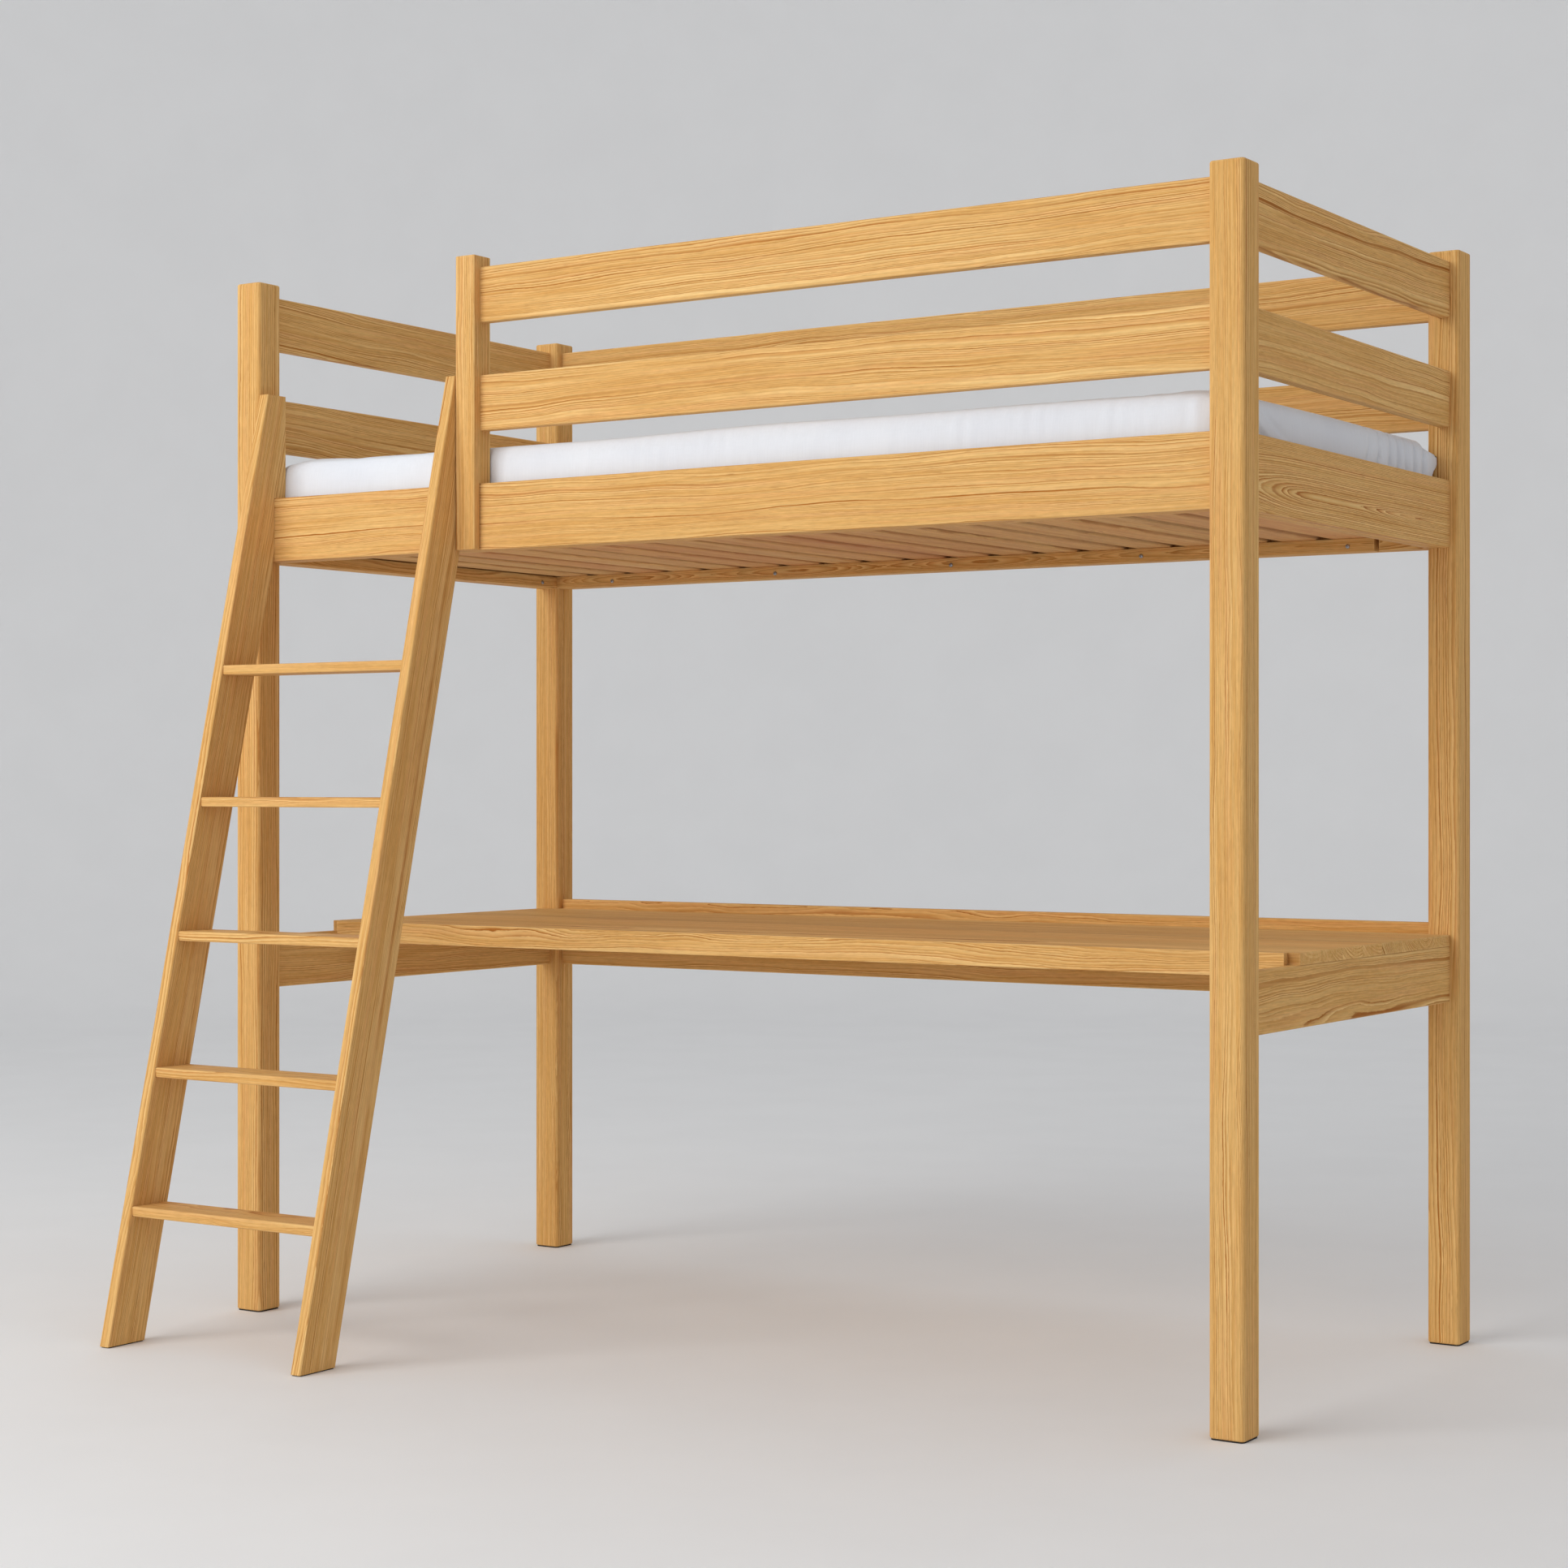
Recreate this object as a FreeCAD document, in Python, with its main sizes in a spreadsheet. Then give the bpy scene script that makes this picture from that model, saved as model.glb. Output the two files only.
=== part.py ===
import FreeCAD, Part
import os
import math
import Sketcher
from FreeCAD import Vector, Rotation, Placement

# Loft bed with a desk below it, in oiled pine.
# Frame: +X along the bed to the right as seen from the ladder side, +Y from the
# ladder side to the wall side, +Z up.  The origin is on the floor, in the middle
# of the footprint (four posts and the feet of the ladder).  Millimetres.

doc = FreeCAD.newDocument("loft_bed")
sheet = doc.addObject("Spreadsheet::Sheet", "dims")

VALUES = [
    # overall
    ("bed_length", 2080), ("bed_width", 980), ("ladder_reach", 408),
    ("pad_height", 2), ("pad_inset", 2),
    # posts
    ("post_side", 60), ("post_height", 1950), ("post_round", 8), ("post_ease", 4),
    # side boards: thickness, how far they stand back from the posts' outer faces
    ("board_thick", 22), ("board_inset", 18), ("board_ease", 3),
    ("bed_rail_low", 1422), ("bed_rail_high", 120),
    ("mid_rail_low", 1637), ("top_rail_low", 1832), ("guard_rail_high", 100),
    # short post beside the ladder gap
    ("guard_post_left", 538), ("guard_post_wide", 44), ("guard_post_deep", 48),
    ("guard_post_tall", 530), ("guard_post_ease", 4),
    # slats and the battens that carry them
    ("ledger_high", 25), ("ledger_thick", 22), ("ledger_ease", 1.5),
    ("ledger_split", 1921), ("ledger_gap", 9),
    ("slat_count", 20), ("slat_wide", 70), ("slat_thick", 18), ("slat_pitch", 98),
    ("slat_first", 74), ("slat_play", 1), ("slat_ease", 3),
    # mattress
    ("mattress_long", 1990), ("mattress_wide", 885), ("mattress_tall", 146),
    ("mattress_front", 50), ("mattress_corner", 60), ("mattress_edge", 24),
    ("mattress_float", 1),
    # desk
    ("desk_rail_low", 612), ("desk_rail_high", 100), ("desk_top_thick", 20),
    ("desk_front", 255), ("desk_strip_thick", 15), ("desk_strip_high", 40),
    ("desk_back_high", 140), ("desk_play", 0.5),
    # ladder
    ("stile_thick", 22), ("stile_deep", 90), ("stile_top", 1737), ("stile_back", 48),
    ("stile_play", 0.5), ("hook_play", 0.3), ("stile_ease", 3),
    ("tread_first", 245), ("tread_pitch", 244), ("tread_deep", 83), ("tread_thick", 18),
    ("tread_setback", 2), ("tread_house", 7), ("tread_ease", 3),
    # fixings
    ("dowel_radius", 4), ("dowel_half", 20), ("dowel_play", 0.1), ("dowel_spread", 30),
    ("stud_radius", 3), ("stud_in_post", 28), ("stud_in_rail", 50),
    ("nut_radius", 5), ("nut_long", 16), ("nut_back", 35),
    ("screw_radius", 2), ("screw_head", 4), ("ledger_screw_first", 210),
    ("ledger_screw_pitch", 415), ("ledger_screw_side", 113), ("ledger_screw_rise", 10.5),
]
for row, (alias, value) in enumerate(VALUES, start=1):
    sheet.set("A%d" % row, alias)
    sheet.set("B%d" % row, str(value))
    sheet.setAlias("B%d" % row, alias)
doc.recompute()


def val(alias):
    """The number held by a cell of the sheet."""
    return float(sheet.get(alias))


def ex(text):
    """Aliases written plainly in an expression become references to the sheet."""
    out, word = "", ""
    names = set(a for a, _ in VALUES)
    for ch in text + " ":
        if ch.isalnum() or ch == "_":
            word += ch
        else:
            out += ("dims." + word) if word in names else word
            out += ch
            word = ""
    return out.strip()


# Corner-based coordinates (front left corner of the posts on the floor) are moved
# to the frame's origin with these two offsets.
SHIFT_X = "-bed_length / 2"
SHIFT_Y = "-(bed_width - ladder_reach) / 2"
OX = -val("bed_length") / 2.0
OY = -(val("bed_width") - val("ladder_reach")) / 2.0

PIECES = []


def origin_plane(body, role):
    for feat in body.Origin.OriginFeatures:
        if feat.Role == role:
            return feat
    raise RuntimeError(role)


def new_body(label):
    body = doc.addObject("PartDesign::Body", label)
    body.Label = label
    PIECES.append(body)
    return body


def new_sketch(body, name, role, offset=None):
    sk = body.newObject("Sketcher::SketchObject", name)
    sk.AttachmentSupport = [(origin_plane(body, role), "")]
    sk.MapMode = "FlatFace"
    if offset is not None:
        sk.setExpression(".AttachmentOffset.Base.z", ex(offset))
    return sk


def polygon(sk, points):
    """Closed outline; each corner is held by two distances bound to expressions."""
    first = len(sk.Geometry)
    n = len(points)
    start = [Vector(10.0 * math.cos(-2.2 + 6.2832 * i / n), 10.0 * math.sin(-2.2 + 6.2832 * i / n), 0)
             for i in range(n)]
    for i in range(n):
        sk.addGeometry(Part.LineSegment(start[i], start[(i + 1) % n]), False)
    for i in range(n):
        sk.addConstraint(Sketcher.Constraint("Coincident", first + i, 2, first + (i + 1) % n, 1))
    for i, (px, py) in enumerate(points):
        for kind, expr in (("DistanceX", px), ("DistanceY", py)):
            idx = sk.addConstraint(Sketcher.Constraint(kind, -1, 1, first + i, 1, 1.0))
            sk.setExpression("Constraints[%d]" % idx, ex(expr))


def circles(sk, items):
    for cx, cy, radius in items:
        g = sk.addGeometry(Part.Circle(Vector(5, 5, 0), Vector(0, 0, 1), 3.0), False)
        for kind, expr in (("DistanceX", cx), ("DistanceY", cy)):
            idx = sk.addConstraint(Sketcher.Constraint(kind, -1, 1, g, 3, 1.0))
            sk.setExpression("Constraints[%d]" % idx, ex(expr))
        idx = sk.addConstraint(Sketcher.Constraint("Radius", g, 3.0))
        sk.setExpression("Constraints[%d]" % idx, ex(radius))


def pad(body, sk, length):
    feat = body.newObject("PartDesign::Pad", body.Name + "_pad")
    feat.Profile = sk
    feat.setExpression("Length", ex(length))
    sk.Visibility = False
    doc.recompute()
    return feat


def long_edges(shape, direction, least):
    names = []
    for i, edge in enumerate(shape.Edges):
        if len(edge.Vertexes) != 2 or edge.Curve.TypeId != "Part::GeomLine":
            continue
        d = edge.Vertexes[1].Point.sub(edge.Vertexes[0].Point)
        if d.Length >= least and abs(d.normalize().dot(direction)) > 0.9:
            names.append("Edge%d" % (i + 1))
    return names


def fillet(body, base, names, radius, tag):
    feat = body.newObject("PartDesign::Fillet", body.Name + "_" + tag)
    feat.Base = (base, names)
    feat.setExpression("Radius", ex(radius))
    doc.recompute()
    return feat


def holes(body, tag, role, offset, reverse, items, depth):
    """Blind holes or housings bored from one flat face; the volume must go down."""
    before = body.Shape.Volume
    sk = new_sketch(body, body.Name + "_" + tag + "_sk", role, offset)
    if len(items[0]) == 3:
        circles(sk, items)
    else:
        for y0, z0, wide, tall in items:
            polygon(sk, [(y0, z0), (y0 + " + " + wide, z0),
                         (y0 + " + " + wide, z0 + " + " + tall), (y0, z0 + " + " + tall)])
    feat = body.newObject("PartDesign::Pocket", body.Name + "_" + tag)
    feat.Profile = sk
    feat.Reversed = reverse
    feat.setExpression("Length", ex(depth))
    sk.Visibility = False
    doc.recompute()
    if not body.Shape.Volume < before - 1.0:
        raise RuntimeError("%s: %s removed nothing" % (body.Name, tag))
    return feat


def place(obj, px, py, pz, turn=False):
    if turn:
        obj.Placement = Placement(Vector(0, 0, 0), Rotation(Vector(0, 0, 1), 90))
    obj.setExpression(".Placement.Base.x", ex("%s + %s" % (SHIFT_X, px)))
    obj.setExpression(".Placement.Base.y", ex("%s + %s" % (SHIFT_Y, py)))
    obj.setExpression(".Placement.Base.z", ex(pz))


HOLE = "dowel_radius + dowel_play"
DEPTH = "dowel_half + dowel_play"


def board(label, run, length, high, px, py, pz, inner=None, ends=(True, True), ease="board_ease",
          thick="board_thick", dowels=("dowel_spread",)):
    """A plain planed board.  Local X runs along it, local Y through it, local Z up.
    inner: local Y face ("near" or "far") in which the barrel nuts of a bed rail lie."""
    body = new_body(label)
    sk = new_sketch(body, label + "_section", "YZ_Plane")
    polygon(sk, [("0", "0"), (thick, "0"), (thick, high), ("0", high)])
    p = pad(body, sk, length)
    fillet(body, p, long_edges(p.Shape, Vector(1, 0, 0), 50), ease, "ease")
    spots = []
    for spread in dowels:
        spots += [("%s / 2" % thick, "%s / 2 - %s" % (high, spread), HOLE),
                  ("%s / 2" % thick, "%s / 2 + %s" % (high, spread), HOLE)]
    if spots:
        if ends[0]:
            holes(body, "dowels_a", "YZ_Plane", "0", True, spots, DEPTH)
        if ends[1]:
            holes(body, "dowels_b", "YZ_Plane", length, False, spots, DEPTH)
    if inner is not None:
        stud = [("%s / 2" % thick, "%s / 2" % high, "stud_radius + dowel_play")]
        holes(body, "stud_a", "YZ_Plane", "0", True, stud, "stud_in_rail + dowel_play")
        holes(body, "stud_b", "YZ_Plane", length, False, stud, "stud_in_rail + dowel_play")
        nuts = [("nut_back", "%s / 2" % high, "nut_radius + dowel_play"),
                ("%s - nut_back" % length, "%s / 2" % high, "nut_radius + dowel_play")]
        # the XZ plane looks along -Y, so its offset counts backwards
        if inner == "far":
            holes(body, "nuts", "XZ_Plane", "-" + thick, True, nuts, "nut_long + dowel_play")
        else:
            holes(body, "nuts", "XZ_Plane", "0", False, nuts, "nut_long + dowel_play")
    if run == "x":
        place(body, px, py, pz)
    else:
        place(body, "%s + %s" % (px, thick), py, pz, turn=True)
    return body


# ---------------------------------------------------------------- posts
# Square posts with rounded arrises and eased ends.  Each has blind dowel holes
# for the boards in its two inner faces, and a stud hole for each bed rail.
MID_BOARD = "board_inset + board_thick / 2"
LOW = "pad_height"


def pair(low, high, spread="dowel_spread"):
    return ["%s + %s / 2 - %s - %s" % (low, high, spread, LOW),
            "%s + %s / 2 + %s - %s" % (low, high, spread, LOW)]


BED_Z = pair("bed_rail_low", "bed_rail_high")
MID_Z = pair("mid_rail_low", "guard_rail_high")
TOP_Z = pair("top_rail_low", "guard_rail_high")
DESK_Z = pair("desk_rail_low", "desk_rail_high")
DESK_BACK_Z = pair("desk_rail_low", "desk_back_high", "dowel_spread")
STUD_Z = "bed_rail_low + bed_rail_high / 2 - " + LOW


def post(label, right, back, px, py, side_z, end_z):
    body = new_body(label)
    sk = new_sketch(body, label + "_section", "XY_Plane")
    polygon(sk, [("0", "0"), ("post_side", "0"), ("post_side", "post_side"), ("0", "post_side")])
    p = pad(body, sk, "post_height")
    f = fillet(body, p, long_edges(p.Shape, Vector(0, 0, 1), 100), "post_round", "round")
    rim = ["Edge%d" % (i + 1) for i, e in enumerate(f.Shape.Edges)
           if abs(e.BoundBox.ZLength) < 1e-6]
    fillet(body, f, rim, "post_ease", "ease")
    # boards along X meet the face that looks along the bed
    across = "post_side - (%s)" % MID_BOARD if back else MID_BOARD
    spots = [(across, z, HOLE) for z in side_z]
    stud = [(across, STUD_Z, "stud_radius + dowel_play")]
    off, rev = ("0", True) if right else ("post_side", False)
    holes(body, "side_dowels", "YZ_Plane", off, rev, spots, DEPTH)
    holes(body, "side_stud", "YZ_Plane", off, rev, stud, "stud_in_post - 1")
    # boards along Y meet the face that looks across it
    across = "post_side - (%s)" % MID_BOARD if right else MID_BOARD
    spots = [(across, z, HOLE) for z in end_z]
    stud = [(across, STUD_Z, "stud_radius + dowel_play")]
    off, rev = ("0", False) if back else ("-post_side", True)
    holes(body, "end_dowels", "XZ_Plane", off, rev, spots, DEPTH)
    holes(body, "end_stud", "XZ_Plane", off, rev, stud, "stud_in_post - 1")
    place(body, px, py, LOW)
    return body


END_Z = BED_Z + MID_Z + TOP_Z + DESK_Z
post("post_front_left", False, False, "0", "0", BED_Z, END_Z)
post("post_front_right", True, False, "bed_length - post_side", "0", BED_Z + MID_Z + TOP_Z, END_Z)
post("post_back_left", False, True, "0", "bed_width - post_side",
     BED_Z + MID_Z + TOP_Z + DESK_BACK_Z, END_Z)
post("post_back_right", True, True, "bed_length - post_side", "bed_width - post_side",
     BED_Z + MID_Z + TOP_Z + DESK_BACK_Z, END_Z)

# ---------------------------------------------------------------- side boards
SIDE_RUN = "bed_length - 2 * post_side"
END_RUN = "bed_width - 2 * post_side"
GUARD_LEFT = "guard_post_left + guard_post_wide"
FRONT_RUN = "bed_length - post_side - guard_post_left - guard_post_wide"
BACK_Y = "bed_width - board_inset - board_thick"
RIGHT_X = "bed_length - board_inset - board_thick"

for name, low, high, bed in (("bed_rail", "bed_rail_low", "bed_rail_high", True),
                             ("mid_rail", "mid_rail_low", "guard_rail_high", False),
                             ("top_rail", "top_rail_low", "guard_rail_high", False)):
    if bed:
        front = board(name + "_front", "x", SIDE_RUN, high, "post_side", "board_inset", low, "far")
    else:
        board(name + "_front", "x", FRONT_RUN, high, GUARD_LEFT, "board_inset", low)
    board(name + "_back", "x", SIDE_RUN, high, "post_side", BACK_Y, low, "near" if bed else None)
    board(name + "_left", "y", END_RUN, high, "board_inset", "post_side", low, "near" if bed else None)
    board(name + "_right", "y", END_RUN, high, RIGHT_X, "post_side", low, "far" if bed else None)

# Two screws come through the front bed rail into the short post's cheek.
GP_X = "guard_post_left + guard_post_wide / 2"
holes(front, "guard_screws", "XZ_Plane", "-board_thick", True,
      [(GP_X + " - post_side", "bed_rail_high / 2 - 5", "screw_radius + dowel_play"),
       (GP_X + " - post_side", "bed_rail_high / 2 + 35", "screw_radius + dowel_play")],
      "board_thick + 1")

# ---------------------------------------------------------------- short post
# Full section above the bed rail, on whose top edge it stands; below that a
# cheek laps the rail's outer face.
gp = new_body("guard_post")
sk = new_sketch(gp, "guard_post_profile", "YZ_Plane")
polygon(sk, [("0", "0"), ("board_inset", "0"), ("board_inset", "bed_rail_high"),
             ("guard_post_deep", "bed_rail_high"), ("guard_post_deep", "guard_post_tall"),
             ("0", "guard_post_tall")])
p = pad(gp, sk, "guard_post_wide")
fillet(gp, p, long_edges(p.Shape, Vector(0, 0, 1), 100), "guard_post_ease", "ease")
f = gp.Tip
rim = []
for i, e in enumerate(f.Shape.Edges):
    bb = e.BoundBox
    if bb.ZLength < 1e-6 and (abs(bb.ZMin) < 1e-6 or abs(bb.ZMin - val("guard_post_tall")) < 1e-6):
        if bb.YMax > val("board_inset") - 1e-6 and bb.ZMin < 1 and bb.YMin > val("board_inset") - 1e-6:
            continue
        rim.append("Edge%d" % (i + 1))
fillet(gp, f, rim, "2", "rim")
spots = [(MID_BOARD, "%s + %s / 2 %s dowel_spread - bed_rail_low" % (low, "guard_rail_high", sign), HOLE)
         for low in ("mid_rail_low", "top_rail_low") for sign in ("-", "+")]
holes(gp, "dowels", "YZ_Plane", "guard_post_wide", False, spots, DEPTH)
holes(gp, "screws", "XZ_Plane", "-board_inset", True,
      [("guard_post_wide / 2", "bed_rail_high / 2 - 5", "screw_radius + dowel_play"),
       ("guard_post_wide / 2", "bed_rail_high / 2 + 35", "screw_radius + dowel_play")], "14")
place(gp, "guard_post_left", "0", "bed_rail_low")

# ---------------------------------------------------------------- battens and slats
IN_X = "board_inset + board_thick"
SCREW_HOLE = "screw_radius + dowel_play"
LEDGER_X = IN_X + " + ledger_thick"


def ledger(label, run, length, px, py, spots, through):
    body = board(label, run, length, "ledger_high", px, py, "bed_rail_low", ends=(False, False),
                 ease="ledger_ease", thick="ledger_thick", dowels=())
    if spots:
        holes(body, "screws", "XZ_Plane", "0", False,
              [(s, "ledger_screw_rise", SCREW_HOLE) for s in spots], "ledger_thick + 1")
    return body


LONG_SPOTS = ["ledger_screw_first + %d * ledger_screw_pitch" % i for i in range(5)]
END_SPOTS = ["ledger_screw_side", "bed_width / 2", "bed_width - ledger_screw_side"]
ledger("slat_ledger_front", "x", "bed_length - 2 * (%s)" % LEDGER_X, LEDGER_X, IN_X,
       [s + " - (" + LEDGER_X + ")" for s in LONG_SPOTS], True)
ledger("slat_ledger_back", "x", "ledger_split - (%s)" % LEDGER_X, LEDGER_X,
       BACK_Y + " - ledger_thick", [s + " - (" + LEDGER_X + ")" for s in LONG_SPOTS], True)
ledger("slat_ledger_back_end", "x", "bed_length - (%s) - ledger_split - ledger_gap" % LEDGER_X,
       "ledger_split + ledger_gap", BACK_Y + " - ledger_thick", [], True)
ledger("slat_ledger_left", "y", END_RUN, IN_X, "post_side", [s + " - post_side" for s in END_SPOTS], True)
ledger("slat_ledger_right", "y", END_RUN, RIGHT_X + " - ledger_thick", "post_side",
       [s + " - post_side" for s in END_SPOTS], True)

# pilot holes for the batten screws in the bed rails
for piece in PIECES:
    if piece.Label in ("bed_rail_front", "bed_rail_back"):
        spots = [(s + " - post_side", "ledger_screw_rise", SCREW_HOLE) for s in LONG_SPOTS]
    elif piece.Label in ("bed_rail_left", "bed_rail_right"):
        spots = [(s + " - post_side", "ledger_screw_rise", SCREW_HOLE) for s in END_SPOTS]
    else:
        continue
    if piece.Label in ("bed_rail_front", "bed_rail_right"):
        holes(piece, "pilots", "XZ_Plane", "-board_thick", True, spots, "14")
    else:
        holes(piece, "pilots", "XZ_Plane", "0", False, spots, "14")

# One slat, eased along its length and countersunk for a screw at each end; the
# row of slats is that shape repeated at the pitch.
slat_long = "bed_width - 2 * (%s) - 2 * slat_play" % IN_X
box = doc.addObject("Part::Box", "slat_blank")
box.setExpression("Length", ex("slat_wide"))
box.setExpression("Width", ex(slat_long))
box.setExpression("Height", ex("slat_thick"))
doc.recompute()
eased = doc.addObject("Part::Fillet", "slat_eased")
eased.Base = box
eased.Edges = [(int(n[4:]), val("slat_ease"), val("slat_ease"))
               for n in long_edges(box.Shape, Vector(0, 1, 0), 50)]
doc.recompute()
cutters = []
SLAT_SCREW_Y = "ledger_thick / 2 - slat_play"
for side, where in (("a", SLAT_SCREW_Y), ("b", "%s - (%s)" % (slat_long, SLAT_SCREW_Y))):
    shank = doc.addObject("Part::Cylinder", "slat_shank_" + side)
    shank.setExpression("Radius", ex(SCREW_HOLE))
    shank.setExpression("Height", ex("slat_thick + 2"))
    sink = doc.addObject("Part::Cone", "slat_sink_" + side)
    sink.setExpression("Radius1", ex(SCREW_HOLE))
    sink.setExpression("Radius2", ex("screw_head + dowel_play"))
    sink.Height = 2.5
    for tool, z in ((shank, "-1"), (sink, "slat_thick - 2.5")):
        tool.setExpression(".Placement.Base.x", ex("slat_wide / 2"))
        tool.setExpression(".Placement.Base.y", ex(where))
        tool.setExpression(".Placement.Base.z", ex(z))
        cutters.append(tool)
tools = doc.addObject("Part::MultiFuse", "slat_cutters")
tools.Shapes = cutters
slat = doc.addObject("Part::Cut", "slat_pattern")
slat.Base = eased
slat.Tool = tools
doc.recompute()

SLAT_Z = val("bed_rail_low") + val("ledger_high")
SLAT_Y = val("board_inset") + val("board_thick") + val("slat_play")


def feature(label, solids, corner=True):
    """A group of like pieces, one solid each, from corner-based coordinates."""
    obj = doc.addObject("Part::Feature", label)
    obj.Label = label
    obj.Shape = Part.makeCompound(solids)
    obj.Placement = Placement(Vector(OX, OY, 0), Rotation())
    PIECES.append(obj)
    return obj


slats = []
for i in range(int(val("slat_count"))):
    one = slat.Shape.Solids[0].copy()
    one.translate(Vector(val("slat_first") + i * val("slat_pitch"), SLAT_Y, SLAT_Z))
    slats.append(one)
feature("bed_slats", slats)

# pilot holes for the slat screws in the front and back battens
slat_spots = ["slat_first + slat_wide / 2 + %d * slat_pitch" % i for i in range(int(val("slat_count")))]
split = val("ledger_split")
for piece in PIECES:
    if piece.Label not in ("slat_ledger_front", "slat_ledger_back", "slat_ledger_back_end"):
        continue
    base = "ledger_split + ledger_gap" if piece.Label.endswith("_end") else LEDGER_X
    spots = []
    for i, s in enumerate(slat_spots):
        xx = val("slat_first") + val("slat_wide") / 2 + i * val("slat_pitch")
        if piece.Label == "slat_ledger_back" and xx > split:
            continue
        if piece.Label == "slat_ledger_back_end" and xx < split:
            continue
        spots.append((s + " - (" + base + ")", "ledger_thick / 2", SCREW_HOLE))
    holes(piece, "pilots", "XY_Plane", "ledger_high", False, spots, "16")

# ---------------------------------------------------------------- mattress
mat = doc.addObject("Part::Box", "mattress_blank")
mat.setExpression("Length", ex("mattress_long"))
mat.setExpression("Width", ex("mattress_wide"))
mat.setExpression("Height", ex("mattress_tall"))
doc.recompute()
rounded = doc.addObject("Part::Fillet", "mattress_plan")
rounded.Base = mat
rounded.Edges = [(int(n[4:]), val("mattress_corner"), val("mattress_corner"))
                 for n in long_edges(mat.Shape, Vector(0, 0, 1), 50)]
doc.recompute()
soft = doc.addObject("Part::Fillet", "mattress")
soft.Label = "mattress"
soft.Base = rounded
soft.Edges = [(i + 1, val("mattress_edge"), val("mattress_edge"))
              for i, e in enumerate(rounded.Shape.Edges) if e.BoundBox.ZLength < 1e-6]
place(soft, "(bed_length - mattress_long) / 2", "mattress_front",
      "bed_rail_low + ledger_high + slat_thick + mattress_float")
PIECES.append(soft)
doc.recompute()

# ---------------------------------------------------------------- desk
for side, px in (("left", "board_inset"), ("right", RIGHT_X)):
    rail = board("desk_end_rail_" + side, "y", END_RUN, "desk_rail_high", px, "post_side", "desk_rail_low")
    # dowel holes up into the desktop
    holes(rail, "top_dowels", "XY_Plane", "desk_rail_high", False,
          [("%s - post_side" % y, "board_thick / 2", HOLE) for y in
           ("desk_front + 60", "(desk_front + bed_width) / 2", "bed_width - 110")], "15")
board("desk_back_rail", "x", SIDE_RUN, "desk_back_high", "post_side", BACK_Y, "desk_rail_low")

DESK_TOP_Z = "desk_rail_low + desk_rail_high"
desk = new_body("desk_top")
sk = new_sketch(desk, "desk_top_outline", "XY_Plane")
W = "bed_length - 2 * board_inset"
D = "bed_width - board_inset - board_thick - desk_front"
NX = "post_side - board_inset + desk_play"
NY = "bed_width - post_side - desk_front - desk_play"
polygon(sk, [("0", "0"), (W, "0"), (W, NY), ("%s - (%s)" % (W, NX), NY),
             ("%s - (%s)" % (W, NX), D), (NX, D), (NX, NY), ("0", NY)])
p = pad(desk, sk, "desk_top_thick")
names = []
for i, e in enumerate(p.Shape.Edges):
    bb = e.BoundBox
    if bb.ZLength > 1e-6:
        continue
    end = bb.XLength < 1e-6 and bb.YLength > 100
    if end and bb.ZMin > 1:
        names.append("Edge%d" % (i + 1))
fillet(desk, p, names, "1.5", "ease")
DESK_X = ["200", "620", "1040", "1460", "1880"]
holes(desk, "front_dowels", "XZ_Plane", "0", False,
      [("%s - board_inset" % x, "desk_top_thick / 2", HOLE) for x in DESK_X], "20")
holes(desk, "back_dowels", "XZ_Plane", "-(%s)" % D, True,
      [("%s - board_inset" % x, "desk_top_thick / 2", HOLE) for x in DESK_X], "20")
holes(desk, "end_dowels", "XY_Plane", "0", True,
      [(x, y + " - desk_front", HOLE) for x in ("board_thick / 2", W + " - board_thick / 2")
       for y in ("desk_front + 60", "(desk_front + bed_width) / 2", "bed_width - 110")], "15")
place(desk, "board_inset", "desk_front", DESK_TOP_Z)

strip = board("desk_front_strip", "x", "bed_length - 2 * (%s)" % IN_X, "desk_strip_high", IN_X,
              "desk_front - desk_strip_thick", DESK_TOP_Z + " + desk_top_thick - desk_strip_high",
              ends=(False, False), ease="1.5", thick="desk_strip_thick", dowels=())
holes(strip, "dowels", "XZ_Plane", "-desk_strip_thick", True,
      [("%s - (%s)" % (x, IN_X), "desk_strip_high - desk_top_thick / 2", HOLE) for x in DESK_X], "10")
for piece in PIECES:
    if piece.Label == "desk_back_rail":
        holes(piece, "top_dowels", "XZ_Plane", "0", False,
              [("%s - post_side" % x, "desk_rail_high + desk_top_thick / 2", HOLE) for x in DESK_X], "12")

# ---------------------------------------------------------------- ladder
# Two leaning stiles with a vertical back at the top, notched over the bed rail.
# A bevelled nib behind the rail keeps the ladder from being pulled forward; it
# slides free up and out at forty-five degrees.
LEAN = "ladder_reach / (stile_top - pad_height)"
RAIL_TOP = "bed_rail_low + bed_rail_high - pad_height"
NOTCH_Y = "board_inset - hook_play"
profile = [
    ("-ladder_reach", "0"),
    ("stile_deep - ladder_reach", "0"),
    (NOTCH_Y, "(%s + ladder_reach - stile_deep) / (%s)" % (NOTCH_Y, LEAN)),
    (NOTCH_Y, RAIL_TOP),
    (IN_X + " + hook_play", RAIL_TOP),
    ("stile_back", "%s - (stile_back - (%s) - hook_play)" % (RAIL_TOP, IN_X)),
    ("stile_back", "stile_top - pad_height"),
    ("0", "stile_top - pad_height"),
]
STILE_X = {"left": "post_side + stile_play", "right": "guard_post_left - stile_play - stile_thick"}
TREADS = []
for i in range(5):
    top = "tread_first + %d * tread_pitch" % i
    front_y = "(%s - pad_height) * %s - ladder_reach + tread_setback" % ("(" + top + ")", LEAN)
    TREADS.append((front_y, top))
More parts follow.
